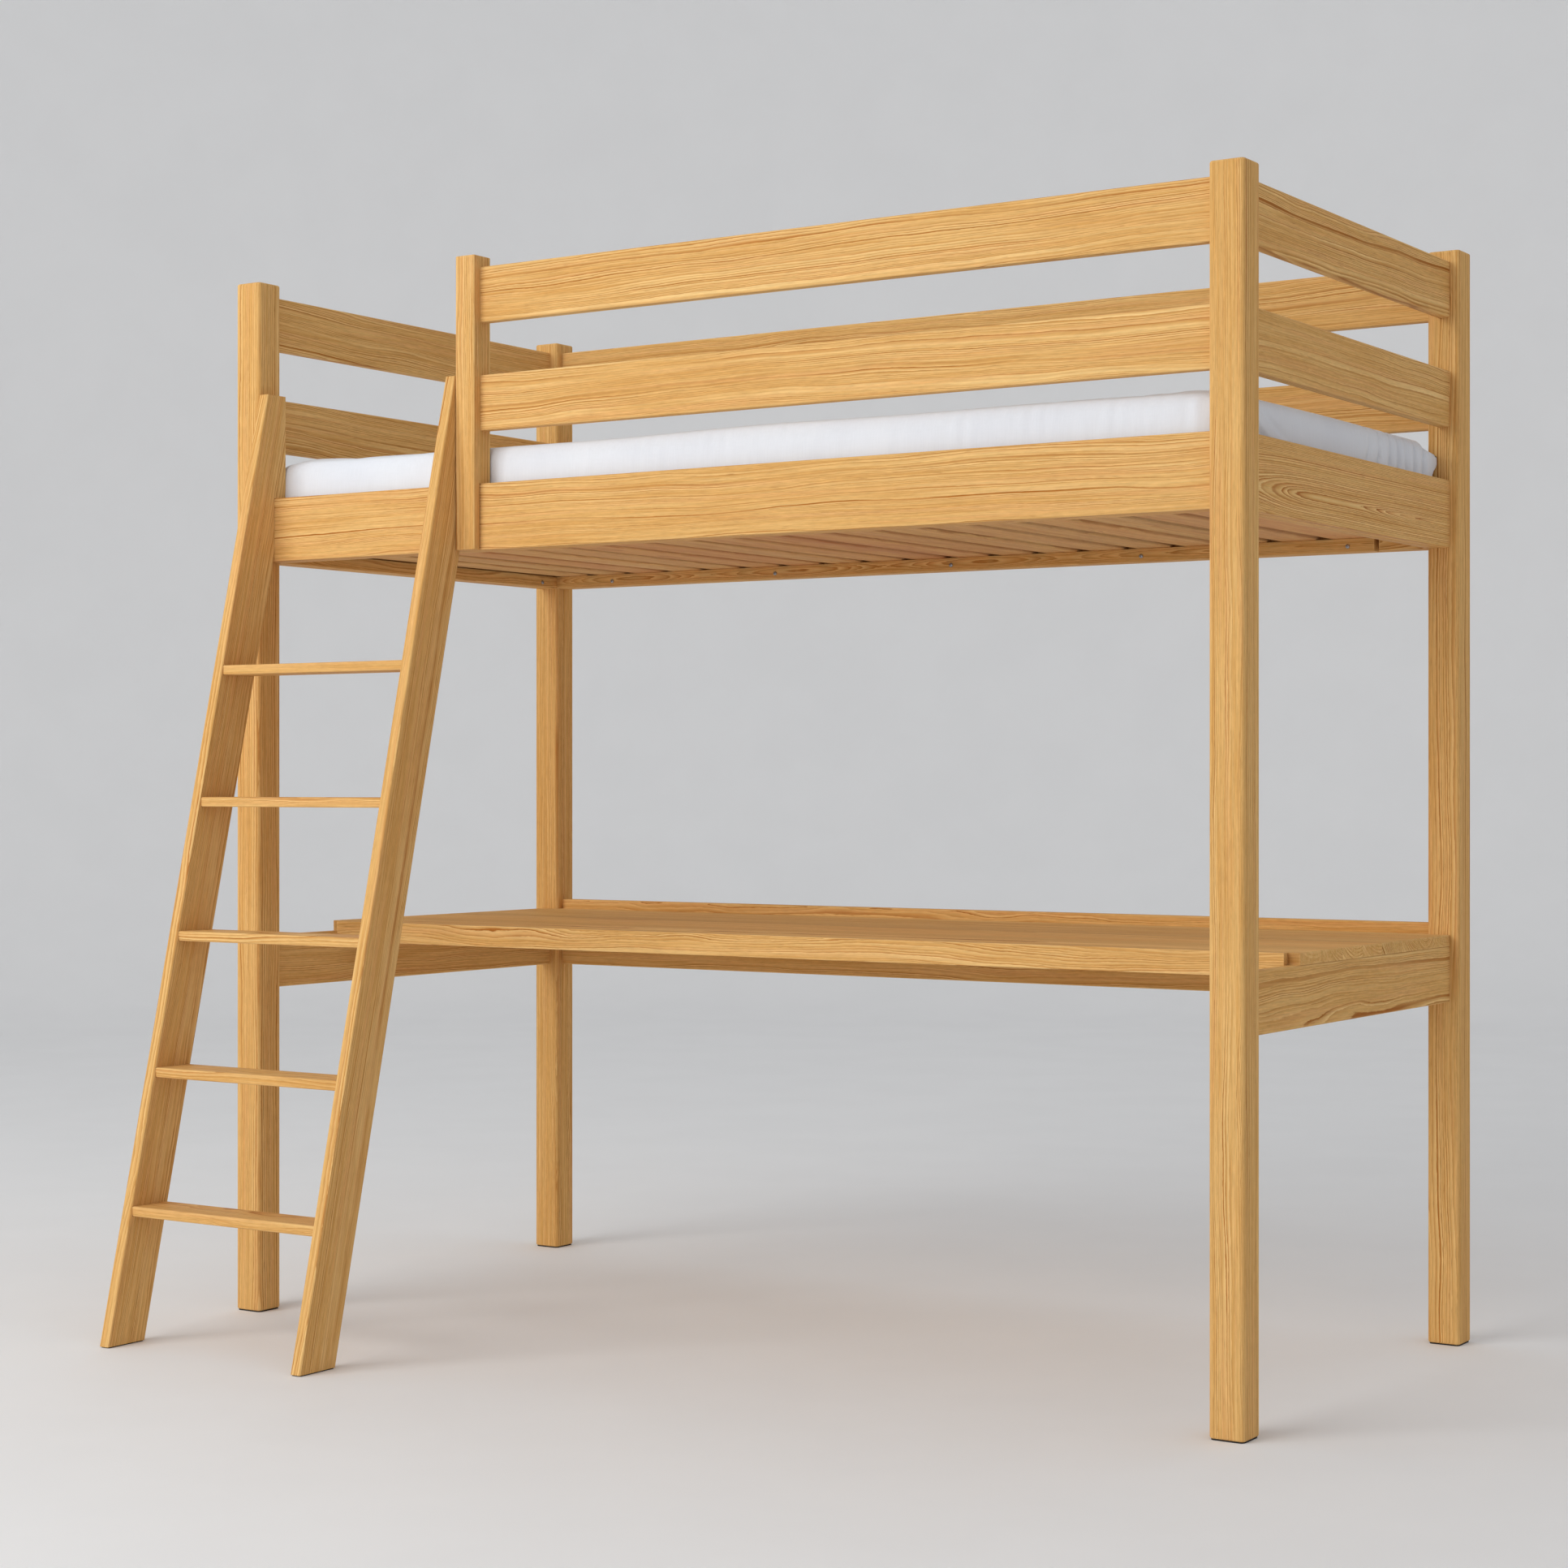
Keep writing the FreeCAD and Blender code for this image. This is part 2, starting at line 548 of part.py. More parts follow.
for side in ("left", "right"):
    body = new_body("ladder_stile_" + side)
    sk = new_sketch(body, body.Name + "_profile", "YZ_Plane")
    polygon(sk, profile)
    p = pad(body, sk, "stile_thick")
    fillet(body, p, long_edges(p.Shape, Vector(0, 0.229, 0.973), 600), "stile_ease", "ease")
    off, rev = ("stile_thick", False) if side == "left" else ("0", True)
    items = []
    for front_y, top in TREADS:
        items.append((front_y + " - 0.1", top + " - tread_thick - pad_height - 0.1",
                      "tread_deep + 0.2", "tread_thick + 0.2"))
    holes(body, "housings", "YZ_Plane", off, rev, items, "tread_house + 0.1")
    place(body, STILE_X[side], "0", LOW)

TREAD_LONG = "guard_post_left - post_side - 2 * stile_play - 2 * stile_thick + 2 * tread_house"
for i, (front_y, top) in enumerate(TREADS):
    board("ladder_tread_%d" % (i + 1), "x", TREAD_LONG, "tread_thick",
          "post_side + stile_play + stile_thick - tread_house", front_y, top + " - tread_thick",
          ends=(False, False), ease="tread_ease", thick="tread_deep", dowels=())

# ---------------------------------------------------------------- pads under posts and ladder
side = val("post_side") - 2 * val("pad_inset")


def rounded_plate(x0, y0, lx, ly, thick, radius):
    solid = Part.makeBox(lx, ly, thick, Vector(x0, y0, 0))
    upright = [e for e in solid.Edges if e.BoundBox.ZLength > 1e-6]
    return solid.makeFillet(radius, upright)


pads = []
for px in (0, val("bed_length") - val("post_side")):
    for py in (0, val("bed_width") - val("post_side")):
        pads.append(rounded_plate(px + val("pad_inset"), py + val("pad_inset"), side, side,
                                  val("pad_height"), 7))
feature("post_pads", pads)

pads = []
for px in (val("post_side") + val("stile_play"),
           val("guard_post_left") - val("stile_play") - val("stile_thick")):
    pads.append(rounded_plate(px + 1.5, -val("ladder_reach") + 3, val("stile_thick") - 3,
                              val("stile_deep") - 6, val("pad_height"), 2))
feature("ladder_pads", pads)

# ---------------------------------------------------------------- hidden fixings
XA, YA, ZA = Vector(1, 0, 0), Vector(0, 1, 0), Vector(0, 0, 1)


def peg(radius, length, middle, axis):
    """A dowel with chamfered ends."""
    solid = Part.makeCylinder(radius, length, middle.sub(Vector(axis).multiply(length / 2.0)), axis)
    rims = [e for e in solid.Edges if e.Curve.TypeId == "Part::GeomCircle"]
    return solid.makeChamfer(radius * 0.2, rims)


def heights(low, high):
    middle = val(low) + val(high) / 2.0
    return (middle - val("dowel_spread"), middle + val("dowel_spread"))


length, width, post_side = val("bed_length"), val("bed_width"), val("post_side")
plane = val("board_inset") + val("board_thick") / 2.0
LEVELS = [("bed_rail_low", "bed_rail_high"), ("mid_rail_low", "guard_rail_high"),
          ("top_rail_low", "guard_rail_high")]
full = 2 * val("dowel_half")
dowels = []
for n, (low, high) in enumerate(LEVELS):
    for z in heights(low, high):
        first = post_side if n == 0 else val("guard_post_left") + val("guard_post_wide")
        for px in (first, length - post_side):
            dowels.append(peg(val("dowel_radius"), full, Vector(px, plane, z), XA))
        for px in (post_side, length - post_side):
            dowels.append(peg(val("dowel_radius"), full, Vector(px, width - plane, z), XA))
        for px in (plane, length - plane):
            for py in (post_side, width - post_side):
                dowels.append(peg(val("dowel_radius"), full, Vector(px, py, z), YA))
feature("rail_dowels", dowels)

desk_pegs = []
for z in heights("desk_rail_low", "desk_rail_high"):
    for px in (plane, length - plane):
        for py in (post_side, width - post_side):
            desk_pegs.append(peg(val("dowel_radius"), full, Vector(px, py, z), YA))
for z in heights("desk_rail_low", "desk_back_high"):
    for px in (post_side, length - post_side):
        desk_pegs.append(peg(val("dowel_radius"), full, Vector(px, width - plane, z), XA))
top_z = val("desk_rail_low") + val("desk_rail_high")
mid_z = top_z + val("desk_top_thick") / 2.0
back_y = width - val("board_inset") - val("board_thick")
for px in (200, 620, 1040, 1460, 1880):
    desk_pegs.append(peg(val("dowel_radius"), 29, Vector(px, val("desk_front") + 5, mid_z), YA))
    desk_pegs.append(peg(val("dowel_radius"), 31, Vector(px, back_y - 4, mid_z), YA))
for px in (plane, length - plane):
    for py in (val("desk_front") + 60, (val("desk_front") + width) / 2.0, width - 110):
        desk_pegs.append(peg(val("dowel_radius"), 29, Vector(px, py, top_z), ZA))
feature("desk_dowels", desk_pegs)

# A stud from each post runs through a barrel nut in the end of each bed rail.
studs, nuts = [], []
zs = val("bed_rail_low") + val("bed_rail_high") / 2.0
a, b = val("stud_in_post") - 2, val("stud_in_rail") - 1


def stud(face, along, sign):
    middle = face.add(Vector(along).multiply(sign * (b - a) / 2.0))
    return peg(val("stud_radius"), a + b, middle, along)


def nut(face, along, sign, inward, depth_dir):
    centre = face.add(Vector(along).multiply(sign * val("nut_back")))
    start = centre.add(Vector(inward).multiply(val("board_thick") / 2.0))
    solid = Part.makeCylinder(val("nut_radius"), val("nut_long"), start, Vector(inward).multiply(-1))
    bore = Part.makeCylinder(val("stud_radius") + 0.05, 4 * val("nut_radius"),
                             centre.sub(Vector(along).multiply(2 * val("nut_radius"))), along)
    return solid.cut(bore).Solids[0]


for py, inward in ((plane, YA), (width - plane, Vector(0, -1, 0))):
    for px, sign in ((post_side, 1), (length - post_side, -1)):
        face = Vector(px, py, zs)
        studs.append(stud(face, XA, sign))
        nuts.append(nut(face, XA, sign, inward, None))
for px, inward in ((plane, XA), (length - plane, Vector(-1, 0, 0))):
    for py, sign in ((post_side, 1), (width - post_side, -1)):
        face = Vector(px, py, zs)
        studs.append(stud(face, YA, sign))
        nuts.append(nut(face, YA, sign, inward, None))
feature("rail_studs", studs)
feature("barrel_nuts", nuts)


def revolve(points, origin, axis):
    """A turned solid: points are (radius, distance along the axis)."""
    pts = [Vector(r, 0, d) for r, d in points]
    wire = Part.makePolygon(pts + [pts[0]])
    solid = Part.Face(wire).revolve(Vector(0, 0, 0), Vector(0, 0, 1), 360)
    solid = Part.Solid(solid.Shells[0]) if solid.ShapeType != "Solid" else solid
    solid.Placement = Placement(origin, Rotation(Vector(0, 0, 1), axis))
    return solid


def cross_recess(origin, axis, depth=1.2):
    turn = Rotation(Vector(0, 0, 1), axis)
    first = Part.makeBox(4.0, 1.0, depth, Vector(-2.0, -0.5, -depth))
    second = Part.makeBox(1.0, 4.0, depth, Vector(-0.5, -2.0, -depth))
    tool = first.fuse(second).removeSplitter()
    tool.Placement = Placement(origin, turn)
    return tool


def pan_screw(face, outward, shank):
    """Pan head screw; face is where its head bears, outward points off the wood."""
    r, head = val("screw_radius"), val("screw_head")
    body = revolve([(0, -shank), (r * 0.4, -shank + 3.0), (r, -shank + 6.0), (r, 0), (head, 0),
                    (head, 1.0), (head * 0.8, 2.0), (head * 0.45, 2.5), (0, 2.5)], face, outward)
    top = face.add(Vector(outward).multiply(2.6))
    return body.cut(cross_recess(top, outward, 1.4)).Solids[0]


screws = []
zl = val("bed_rail_low") + val("ledger_screw_rise")
inner = val("board_inset") + val("board_thick") + val("ledger_thick")
for i in range(5):
    px = val("ledger_screw_first") + i * val("ledger_screw_pitch")
    screws.append(pan_screw(Vector(px, inner, zl), YA, 34))
    screws.append(pan_screw(Vector(px, width - inner, zl), Vector(0, -1, 0), 34))
for py in (val("ledger_screw_side"), width / 2.0, width - val("ledger_screw_side")):
    screws.append(pan_screw(Vector(inner, py, zl), XA, 34))
    screws.append(pan_screw(Vector(length - inner, py, zl), Vector(-1, 0, 0), 34))
feature("ledger_screws", screws)


def sunk_screw(face, outward, shank, recess=1.2):
    """Countersunk screw whose flat head lies level with the wood."""
    r, head = val("screw_radius"), val("screw_head")
    body = revolve([(0, -shank), (r * 0.4, -shank + 3.0), (r, -shank + 6.0), (r, -2.4), (head, 0), (0, 0)],
                   face, outward)
    return body.cut(cross_recess(face.add(Vector(outward).multiply(0.1)), outward, recess)).Solids[0]


slat_screws = []
top_of_slat = SLAT_Z + val("slat_thick")
for i in range(int(val("slat_count"))):
    px = val("slat_first") + val("slat_wide") / 2 + i * val("slat_pitch")
    edge = val("board_inset") + val("board_thick") + val("ledger_thick") / 2.0
    for py in (edge, width - edge):
        slat_screws.append(sunk_screw(Vector(px, py, top_of_slat), ZA, 33))
feature("slat_screws", slat_screws)

gx = val("guard_post_left") + val("guard_post_wide") / 2.0
rail_face = val("board_inset") + val("board_thick")
guard_screws = []
for dz in (-5, 35):
    guard_screws.append(pan_screw(Vector(gx, rail_face, zs + dz), YA, 34))
feature("guard_fixing_screws", guard_screws)

# ---------------------------------------------------------------- check and write
doc.recompute()
for obj in doc.Objects:
    if "Invalid" in obj.State or "Error" in obj.State:
        raise RuntimeError("%s: %s" % (obj.Name, obj.State))
labels = [p.Label for p in PIECES]
if len(labels) != len(set(labels)):
    raise RuntimeError("two pieces share a label")
for piece in PIECES:
    if piece.Shape.isNull() or not piece.Shape.isValid():
        raise RuntimeError("%s has no valid shape" % piece.Label)

os.makedirs("parts", exist_ok=True)
for piece in PIECES:
    piece.Shape.exportStep("parts/%s.step" % piece.Label)
    bb = piece.Shape.BoundBox
    print("%-24s solids %3d  x %8.1f %8.1f  y %8.1f %8.1f  z %8.1f %8.1f  vol %.0f" % (
        piece.Label, len(piece.Shape.Solids), bb.XMin, bb.XMax, bb.YMin, bb.YMax, bb.ZMin, bb.ZMax,
        piece.Shape.Volume))
print(len(PIECES), "pieces")
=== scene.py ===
import bpy, bmesh, math, random
import numpy as np
from mathutils import Matrix, Vector, Euler


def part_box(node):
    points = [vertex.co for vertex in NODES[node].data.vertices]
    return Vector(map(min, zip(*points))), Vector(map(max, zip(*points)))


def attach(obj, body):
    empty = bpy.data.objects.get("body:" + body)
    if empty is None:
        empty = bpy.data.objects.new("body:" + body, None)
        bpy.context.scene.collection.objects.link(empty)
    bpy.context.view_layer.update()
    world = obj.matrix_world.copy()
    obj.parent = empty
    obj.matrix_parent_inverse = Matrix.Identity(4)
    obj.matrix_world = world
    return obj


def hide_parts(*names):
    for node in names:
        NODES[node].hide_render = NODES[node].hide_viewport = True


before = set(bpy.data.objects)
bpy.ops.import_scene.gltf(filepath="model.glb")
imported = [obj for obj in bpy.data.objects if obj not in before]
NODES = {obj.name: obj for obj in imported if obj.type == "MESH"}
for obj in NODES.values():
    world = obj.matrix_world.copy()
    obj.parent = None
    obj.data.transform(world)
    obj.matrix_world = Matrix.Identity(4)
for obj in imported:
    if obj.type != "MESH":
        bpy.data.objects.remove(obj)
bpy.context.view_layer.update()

scene = bpy.context.scene
scene.view_settings.view_transform = "Standard"
scene.view_settings.look = "None"
scene.view_settings.exposure = 0.0
scene.view_settings.gamma = 1.0


# ------------------------------------------------------------------ node helpers
class Tree:
    """Short hand for building a material's node tree."""

    def __init__(self, name):
        self.mat = bpy.data.materials.new(name)
        self.mat.use_nodes = True
        self.nt = self.mat.node_tree
        self.nt.nodes.clear()
        self.out = self.node("ShaderNodeOutputMaterial")
        self.bsdf = self.node("ShaderNodeBsdfPrincipled")
        self.link(self.bsdf.outputs[0], self.out.inputs["Surface"])

    def node(self, kind, **props):
        n = self.nt.nodes.new(kind)
        for k, v in props.items():
            setattr(n, k, v)
        return n

    def link(self, a, b):
        self.nt.links.new(a, b)

    def put(self, socket, value):
        if hasattr(value, "is_output") or isinstance(value, bpy.types.NodeSocket):
            self.link(value, socket)
        else:
            socket.default_value = value

    def math(self, op, a, b=None, c=None, clamp=False):
        n = self.node("ShaderNodeMath", operation=op, use_clamp=clamp)
        self.put(n.inputs[0], a)
        if b is not None:
            self.put(n.inputs[1], b)
        if c is not None:
            self.put(n.inputs[2], c)
        return n.outputs[0]

    def vmath(self, op, a, b=None, scale=None):
        n = self.node("ShaderNodeVectorMath", operation=op)
        self.put(n.inputs[0], a)
        if b is not None:
            self.put(n.inputs[1], b)
        if scale is not None:
            self.put(n.inputs["Scale"], scale)
        return n.outputs["Value"] if op in ("LENGTH", "DOT_PRODUCT") else n.outputs["Vector"]

    def noise(self, vec, scale=1.0, detail=2.0, rough=0.5, dist=0.0, dims="3D", w=None):
        n = self.node("ShaderNodeTexNoise", noise_dimensions=dims)
        if vec is not None and dims != "1D":
            self.put(n.inputs["Vector"], vec)
        if w is not None:
            self.put(n.inputs["W"], w)
        n.inputs["Scale"].default_value = scale
        n.inputs["Detail"].default_value = detail
        n.inputs["Roughness"].default_value = rough
        n.inputs["Distortion"].default_value = dist
        return n.outputs["Fac"]

    def map(self, v, a, b, c, d, kind="SMOOTHSTEP", clamp=True):
        n = self.node("ShaderNodeMapRange", interpolation_type=kind, clamp=clamp)
        self.put(n.inputs["Value"], v)
        for name, x in (("From Min", a), ("From Max", b), ("To Min", c), ("To Max", d)):
            self.put(n.inputs[name], x)
        return n.outputs["Result"]

    def mix(self, fac, a, b, blend="MIX"):
        n = self.node("ShaderNodeMix", data_type="RGBA", blend_type=blend)
        self.put(n.inputs["Factor"], fac)
        self.put(n.inputs[6], a)
        self.put(n.inputs[7], b)
        return n.outputs[2]

    def ramp(self, fac, stops, interp="LINEAR"):
        n = self.node("ShaderNodeValToRGB")
        cr = n.color_ramp
        cr.interpolation = interp
        while len(cr.elements) > 1:
            cr.elements.remove(cr.elements[-1])
        cr.elements[0].position = stops[0][0]
        cr.elements[0].color = stops[0][1]
        for p, c in stops[1:]:
            e = cr.elements.new(p)
            e.color = c
        self.put(n.inputs["Fac"], fac)
        return n.outputs["Color"]

    def xyz(self, vec):
        n = self.node("ShaderNodeSeparateXYZ")
        self.put(n.inputs[0], vec)
        return n.outputs[0], n.outputs[1], n.outputs[2]

    def join(self, x, y, z):
        n = self.node("ShaderNodeCombineXYZ")
        for i, v in enumerate((x, y, z)):
            self.put(n.inputs[i], v)
        return n.outputs[0]


def lin(r, g, b):
    """sRGB 0-255 to a linear colour."""
    out = []
    for v in (r, g, b):
        v /= 255.0
        out.append(v / 12.92 if v <= 0.04045 else ((v + 0.055) / 1.055) ** 2.4)
    return (out[0], out[1], out[2], 1.0)


def grey(v):
    return (v, v, v, 1.0)


# ------------------------------------------------------------------ pine
STREAK = lin(242, 204, 140)
PALE = lin(227, 182, 116)
GOLD = lin(214, 164, 97)
LATE = lin(170, 104, 44)
AMBER = lin(200, 141, 71)


def pine(name, centre, rot, half, seed, pith=(0.05, 0.08), tilt=(0.0, 0.0), depth=None, ring=0.0044,
         late=1.0, wave=1.0, streak=STREAK, pale=PALE, gold=GOLD, dark=LATE, amber=AMBER, cells=None,
         tint=0.0, rough=0.48, knots=None, steady=0.0):
    """Solid softwood: growth rings about a pith line that runs along local X, cut by the board.
    rot turns the row frame into the board's own axes (X along the grain), half is the board's
    half size in those axes.  cells = (axis, first, pitch) splits it into strips or slats of
    separate wood.  depth bends the pith line, so that the rings close into ovals on a flat face."""
    T = Tree(name)
    rnd = random.Random(seed)
    tc = T.node("ShaderNodeTexCoord")
    mp = T.node("ShaderNodeMapping", vector_type="POINT")
    T.link(tc.outputs["Object"], mp.inputs["Vector"])
    e = rot.to_euler("XYZ")
    mp.inputs["Rotation"].default_value = e
    mp.inputs["Location"].default_value = -(rot @ Vector(centre))
    P0 = mp.outputs["Vector"]
    x0, y0, z0 = T.xyz(P0)
    x, y, z = x0, y0, z0
    P = T.vmath("ADD", P0, (rnd.uniform(-40, 40), rnd.uniform(-40, 40), rnd.uniform(-40, 40)))
    py, pz = pith
    shade = seam = None
    if cells:
        axis, first, pitch = cells
        u = T.math("DIVIDE", T.math("SUBTRACT", (x, y, z)[axis], first), pitch)
        idx = T.math("FLOOR", u)
        wn = T.node("ShaderNodeTexWhiteNoise", noise_dimensions="1D")
        T.link(T.math("ADD", idx, float(seed % 97)), wn.inputs["W"])
        rv = T.vmath("SUBTRACT", wn.outputs["Color"], (0.5, 0.5, 0.5))
        P = T.vmath("ADD", P, T.vmath("SCALE", rv, scale=37.0))
        rx, ry, rz = T.xyz(rv)
        # every strip is sawn from its own place in the log
        y = T.math("SUBTRACT", y, T.math("ADD", first + pitch / 2, T.math("MULTIPLY", idx, pitch)))
        y = T.math("ADD", y, T.math("MULTIPLY", ry, 0.16))
        z = T.math("ADD", z, T.math("MULTIPLY", rz, 0.09))
        shade = wn.outputs["Value"]
        frac = T.math("FRACT", u)
        seam = T.math("MINIMUM", frac, T.math("SUBTRACT", 1.0, frac))
    # slow and quick wander of the grain
    slow = T.noise(T.vmath("MULTIPLY", P, (1.4, 6.0, 6.0)), 1.0, 2.0, 0.5)
    quick = T.noise(T.vmath("MULTIPLY", P, (5.0, 16.0, 16.0)), 1.0, 1.0, 0.5)
    tiny = T.noise(T.vmath("MULTIPLY", P, (17.0, 60.0, 60.0)), 1.0, 2.0, 0.6)
    wob = T.math("MULTIPLY", T.math("SUBTRACT", slow, 0.5), 0.050 * wave)
    wob = T.math("MULTIPLY_ADD", T.math("SUBTRACT", quick, 0.5), 0.013 * wave, wob)
    wob = T.math("MULTIPLY_ADD", T.math("SUBTRACT", tiny, 0.5), 0.0019 * wave, wob)
    jag = T.noise(T.vmath("MULTIPLY", P, (46.0, 330.0, 330.0)), 1.0, 2.0, 0.6)
    wob = T.math("MULTIPLY_ADD", T.math("SUBTRACT", jag, 0.5), 0.0011, wob)
    cy = T.math("MULTIPLY_ADD", x, tilt[0], T.math("SUBTRACT", y, py))
    cz = T.math("MULTIPLY_ADD", x, tilt[1], T.math("SUBTRACT", z, pz))
    if depth:
        # how far the heart of the log lies behind the board's face (y = -half), along the board
        n = T.node("ShaderNodeValToRGB")
        cr = n.color_ramp
        cr.interpolation = "B_SPLINE"
        a0, a1 = depth[0][0], depth[-1][0]
        cr.elements[0].position, cr.elements[0].color = 0.0, grey(depth[0][1] * 5)
        cr.elements[1].position, cr.elements[1].color = 1.0, grey(depth[-1][1] * 5)
        for px, pv in depth[1:-1]:
            el = cr.elements.new((px - a0) / (a1 - a0))
            el.color = grey(pv * 5)
        T.link(T.map(x, a0, a1, 0.0, 1.0, "LINEAR"), n.inputs["Fac"])
        cy = T.math("MULTIPLY_ADD", n.outputs["Color"], -0.2, T.math("ADD", y, half[1]))
    r = T.math("SQRT", T.math("MULTIPLY_ADD", cy, cy, T.math("MULTIPLY", cz, cz)))
    r = T.math("ADD", r, wob)
    knot_mask = None
    if knots:
        for kx, ky, size in knots:
            v = T.vmath("MULTIPLY", T.vmath("SUBTRACT", P0, (kx, ky, 0.0)), (0.6, 1.0, 0.15))
            d = T.vmath("LENGTH", v)
            d = T.math("MULTIPLY_ADD", T.math("SUBTRACT", quick, 0.5), size * 0.6, d)
            push = T.math("MULTIPLY", T.math("EXPONENT", T.math("MULTIPLY", d, -1.0 / (size * 1.5))), size * 1.6)
            r = T.math("ADD", r, push)
            m = T.map(d, size * 1.0, size * 0.7, 0.0, 1.0)
            knot_mask = m if knot_mask is None else T.math("MAXIMUM", knot_mask, m)
    # years of different growth: the ring number grows unevenly with the radius
    years = T.noise(None, 1.0, 1.0, 0.5, dims="1D", w=T.math("MULTIPLY_ADD", r, 42.0, float(seed)))
    years2 = T.noise(None, 1.0, 0.0, 0.5, dims="1D", w=T.math("MULTIPLY_ADD", r, 190.0, 31.0))
    rr = T.math("MULTIPLY_ADD", years, 0.024 * min(1.0, (ring / 0.0040) ** 2), r)
    rr = T.math("MULTIPLY_ADD", years2, 0.0032 * min(1.0, ring / 0.0040), rr)
    u = T.math("DIVIDE", rr, ring * 0.86)
    f = T.math("FRACT", u)
    num = T.math("FLOOR", u)
    wy = T.node("ShaderNodeTexWhiteNoise", noise_dimensions="1D")
    T.link(num, wy.inputs["W"])
    strong = T.map(wy.outputs["Value"], 0.0, 1.0, 0.20, 1.18, "LINEAR", clamp=False)
    fade = T.noise(T.vmath("MULTIPLY", P, (1.9, 24.0, 24.0)), 1.0, 2.0, 0.55)
    fade = T.map(fade, 0.36, 0.62, 0.34, 1.0)
    if steady:
        fade = T.math("MAXIMUM", fade, steady)
    force = T.math("MULTIPLY", strong, fade)
    band = T.ramp(f, [(0.0, grey(0.50)), (0.04, grey(0.0)), (0.50, grey(0.04)), (0.72, grey(0.30)),
                      (0.86, grey(1.0)), (0.96, grey(1.0)), (1.0, grey(0.50))], "LINEAR")
    early = T.ramp(f, [(0.0, grey(0.0)), (0.07, grey(0.9)), (0.18, grey(1.0)), (0.42, grey(0.25)), (0.6, grey(0.0))], "LINEAR")
    lateness = T.math("MULTIPLY", band, force)
    bright = T.math("MULTIPLY", early, force)
    # narrow rings between the broad ones
    fine_r = T.math("FRACT", T.math("DIVIDE", T.math("MULTIPLY_ADD", years, 0.010, r), ring * 0.37))
    fine_b = T.ramp(fine_r, [(0.0, grey(0.2)), (0.15, grey(0.0)), (0.55, grey(0.15)), (0.85, grey(1.0)), (1.0, grey(0.2))], "LINEAR")
    quiet = T.math("SUBTRACT", 1.0, fade)
    fine_b = T.math("MULTIPLY", fine_b, T.math("MULTIPLY_ADD", quiet, 0.42, 0.06))
    # fibres
    fibre = T.noise(T.vmath("MULTIPLY", P, (12.0, 700.0, 700.0)), 1.0, 2.0, 0.6)
    streaks = T.noise(T.vmath("MULTIPLY", P, (4.0, 160.0, 160.0)), 1.0, 2.0, 0.55)
    tone = T.noise(T.vmath("MULTIPLY", P, (1.1, 12.0, 12.0)), 1.0, 2.0, 0.5)
    base = T.mix(T.map(streaks, 0.34, 0.66, 0.0, 1.0), pale, gold)
    base = T.mix(T.map(tone, 0.45, 0.75, 0.0, 0.30), base, amber)
    hue = T.noise(T.vmath("MULTIPLY", P, (2.2, 95.0, 95.0)), 1.0, 1.0, 0.5)
    base = T.mix(T.map(hue, 0.50, 0.68, 0.0, 0.42), base, lin(226, 170, 112))
    col = T.mix(T.math("MULTIPLY", bright, 0.95), base, streak)
    col = T.mix(fine_b, col, amber)
    col = T.mix(T.math("MULTIPLY", lateness, late), col, dark)
    fine = T.map(T.math("MULTIPLY_ADD", jag, 0.5, T.math("MULTIPLY", fibre, 0.5)), 0.32, 0.68, 0.86, 1.11, "LINEAR")
    col = T.mix(1.0, col, T.join(fine, fine, fine), "MULTIPLY")
    # short resin lines
    canal = T.noise(T.vmath("MULTIPLY", P, (34.0, 1100.0, 1100.0)), 1.0, 0.0, 0.5)
    canal = T.map(canal, 0.74, 0.84, 0.0, 0.38)
    col = T.mix(canal, col, lin(158, 98, 44))
    if shade is not None:
        amount = T.map(shade, 0.0, 1.0, 0.90, 1.06, "LINEAR")
        col = T.mix(1.0, col, T.join(amount, amount, amount), "MULTIPLY")
        if tint:
            red = T.map(T.math("FRACT", T.math("MULTIPLY", shade, 7.31)), 0.35, 1.0, 0.0, tint)
            col = T.mix(red, col, lin(206, 142, 100))
        if not tint:
            line = T.map(seam, 0.0, 0.0010 / pitch, 0.40, 0.0, "LINEAR")
            col = T.mix(line, col, lin(132, 86, 40))
    if knot_mask is not None:
        heart = T.noise(T.vmath("MULTIPLY", P0, (160.0, 160.0, 160.0)), 1.0, 3.0, 0.6)
        kcol = T.mix(T.map(heart, 0.3, 0.7, 0.0, 1.0), lin(186, 100, 40), lin(128, 64, 24))
        col = T.mix(T.math("MULTIPLY", knot_mask, 0.92), col, kcol)
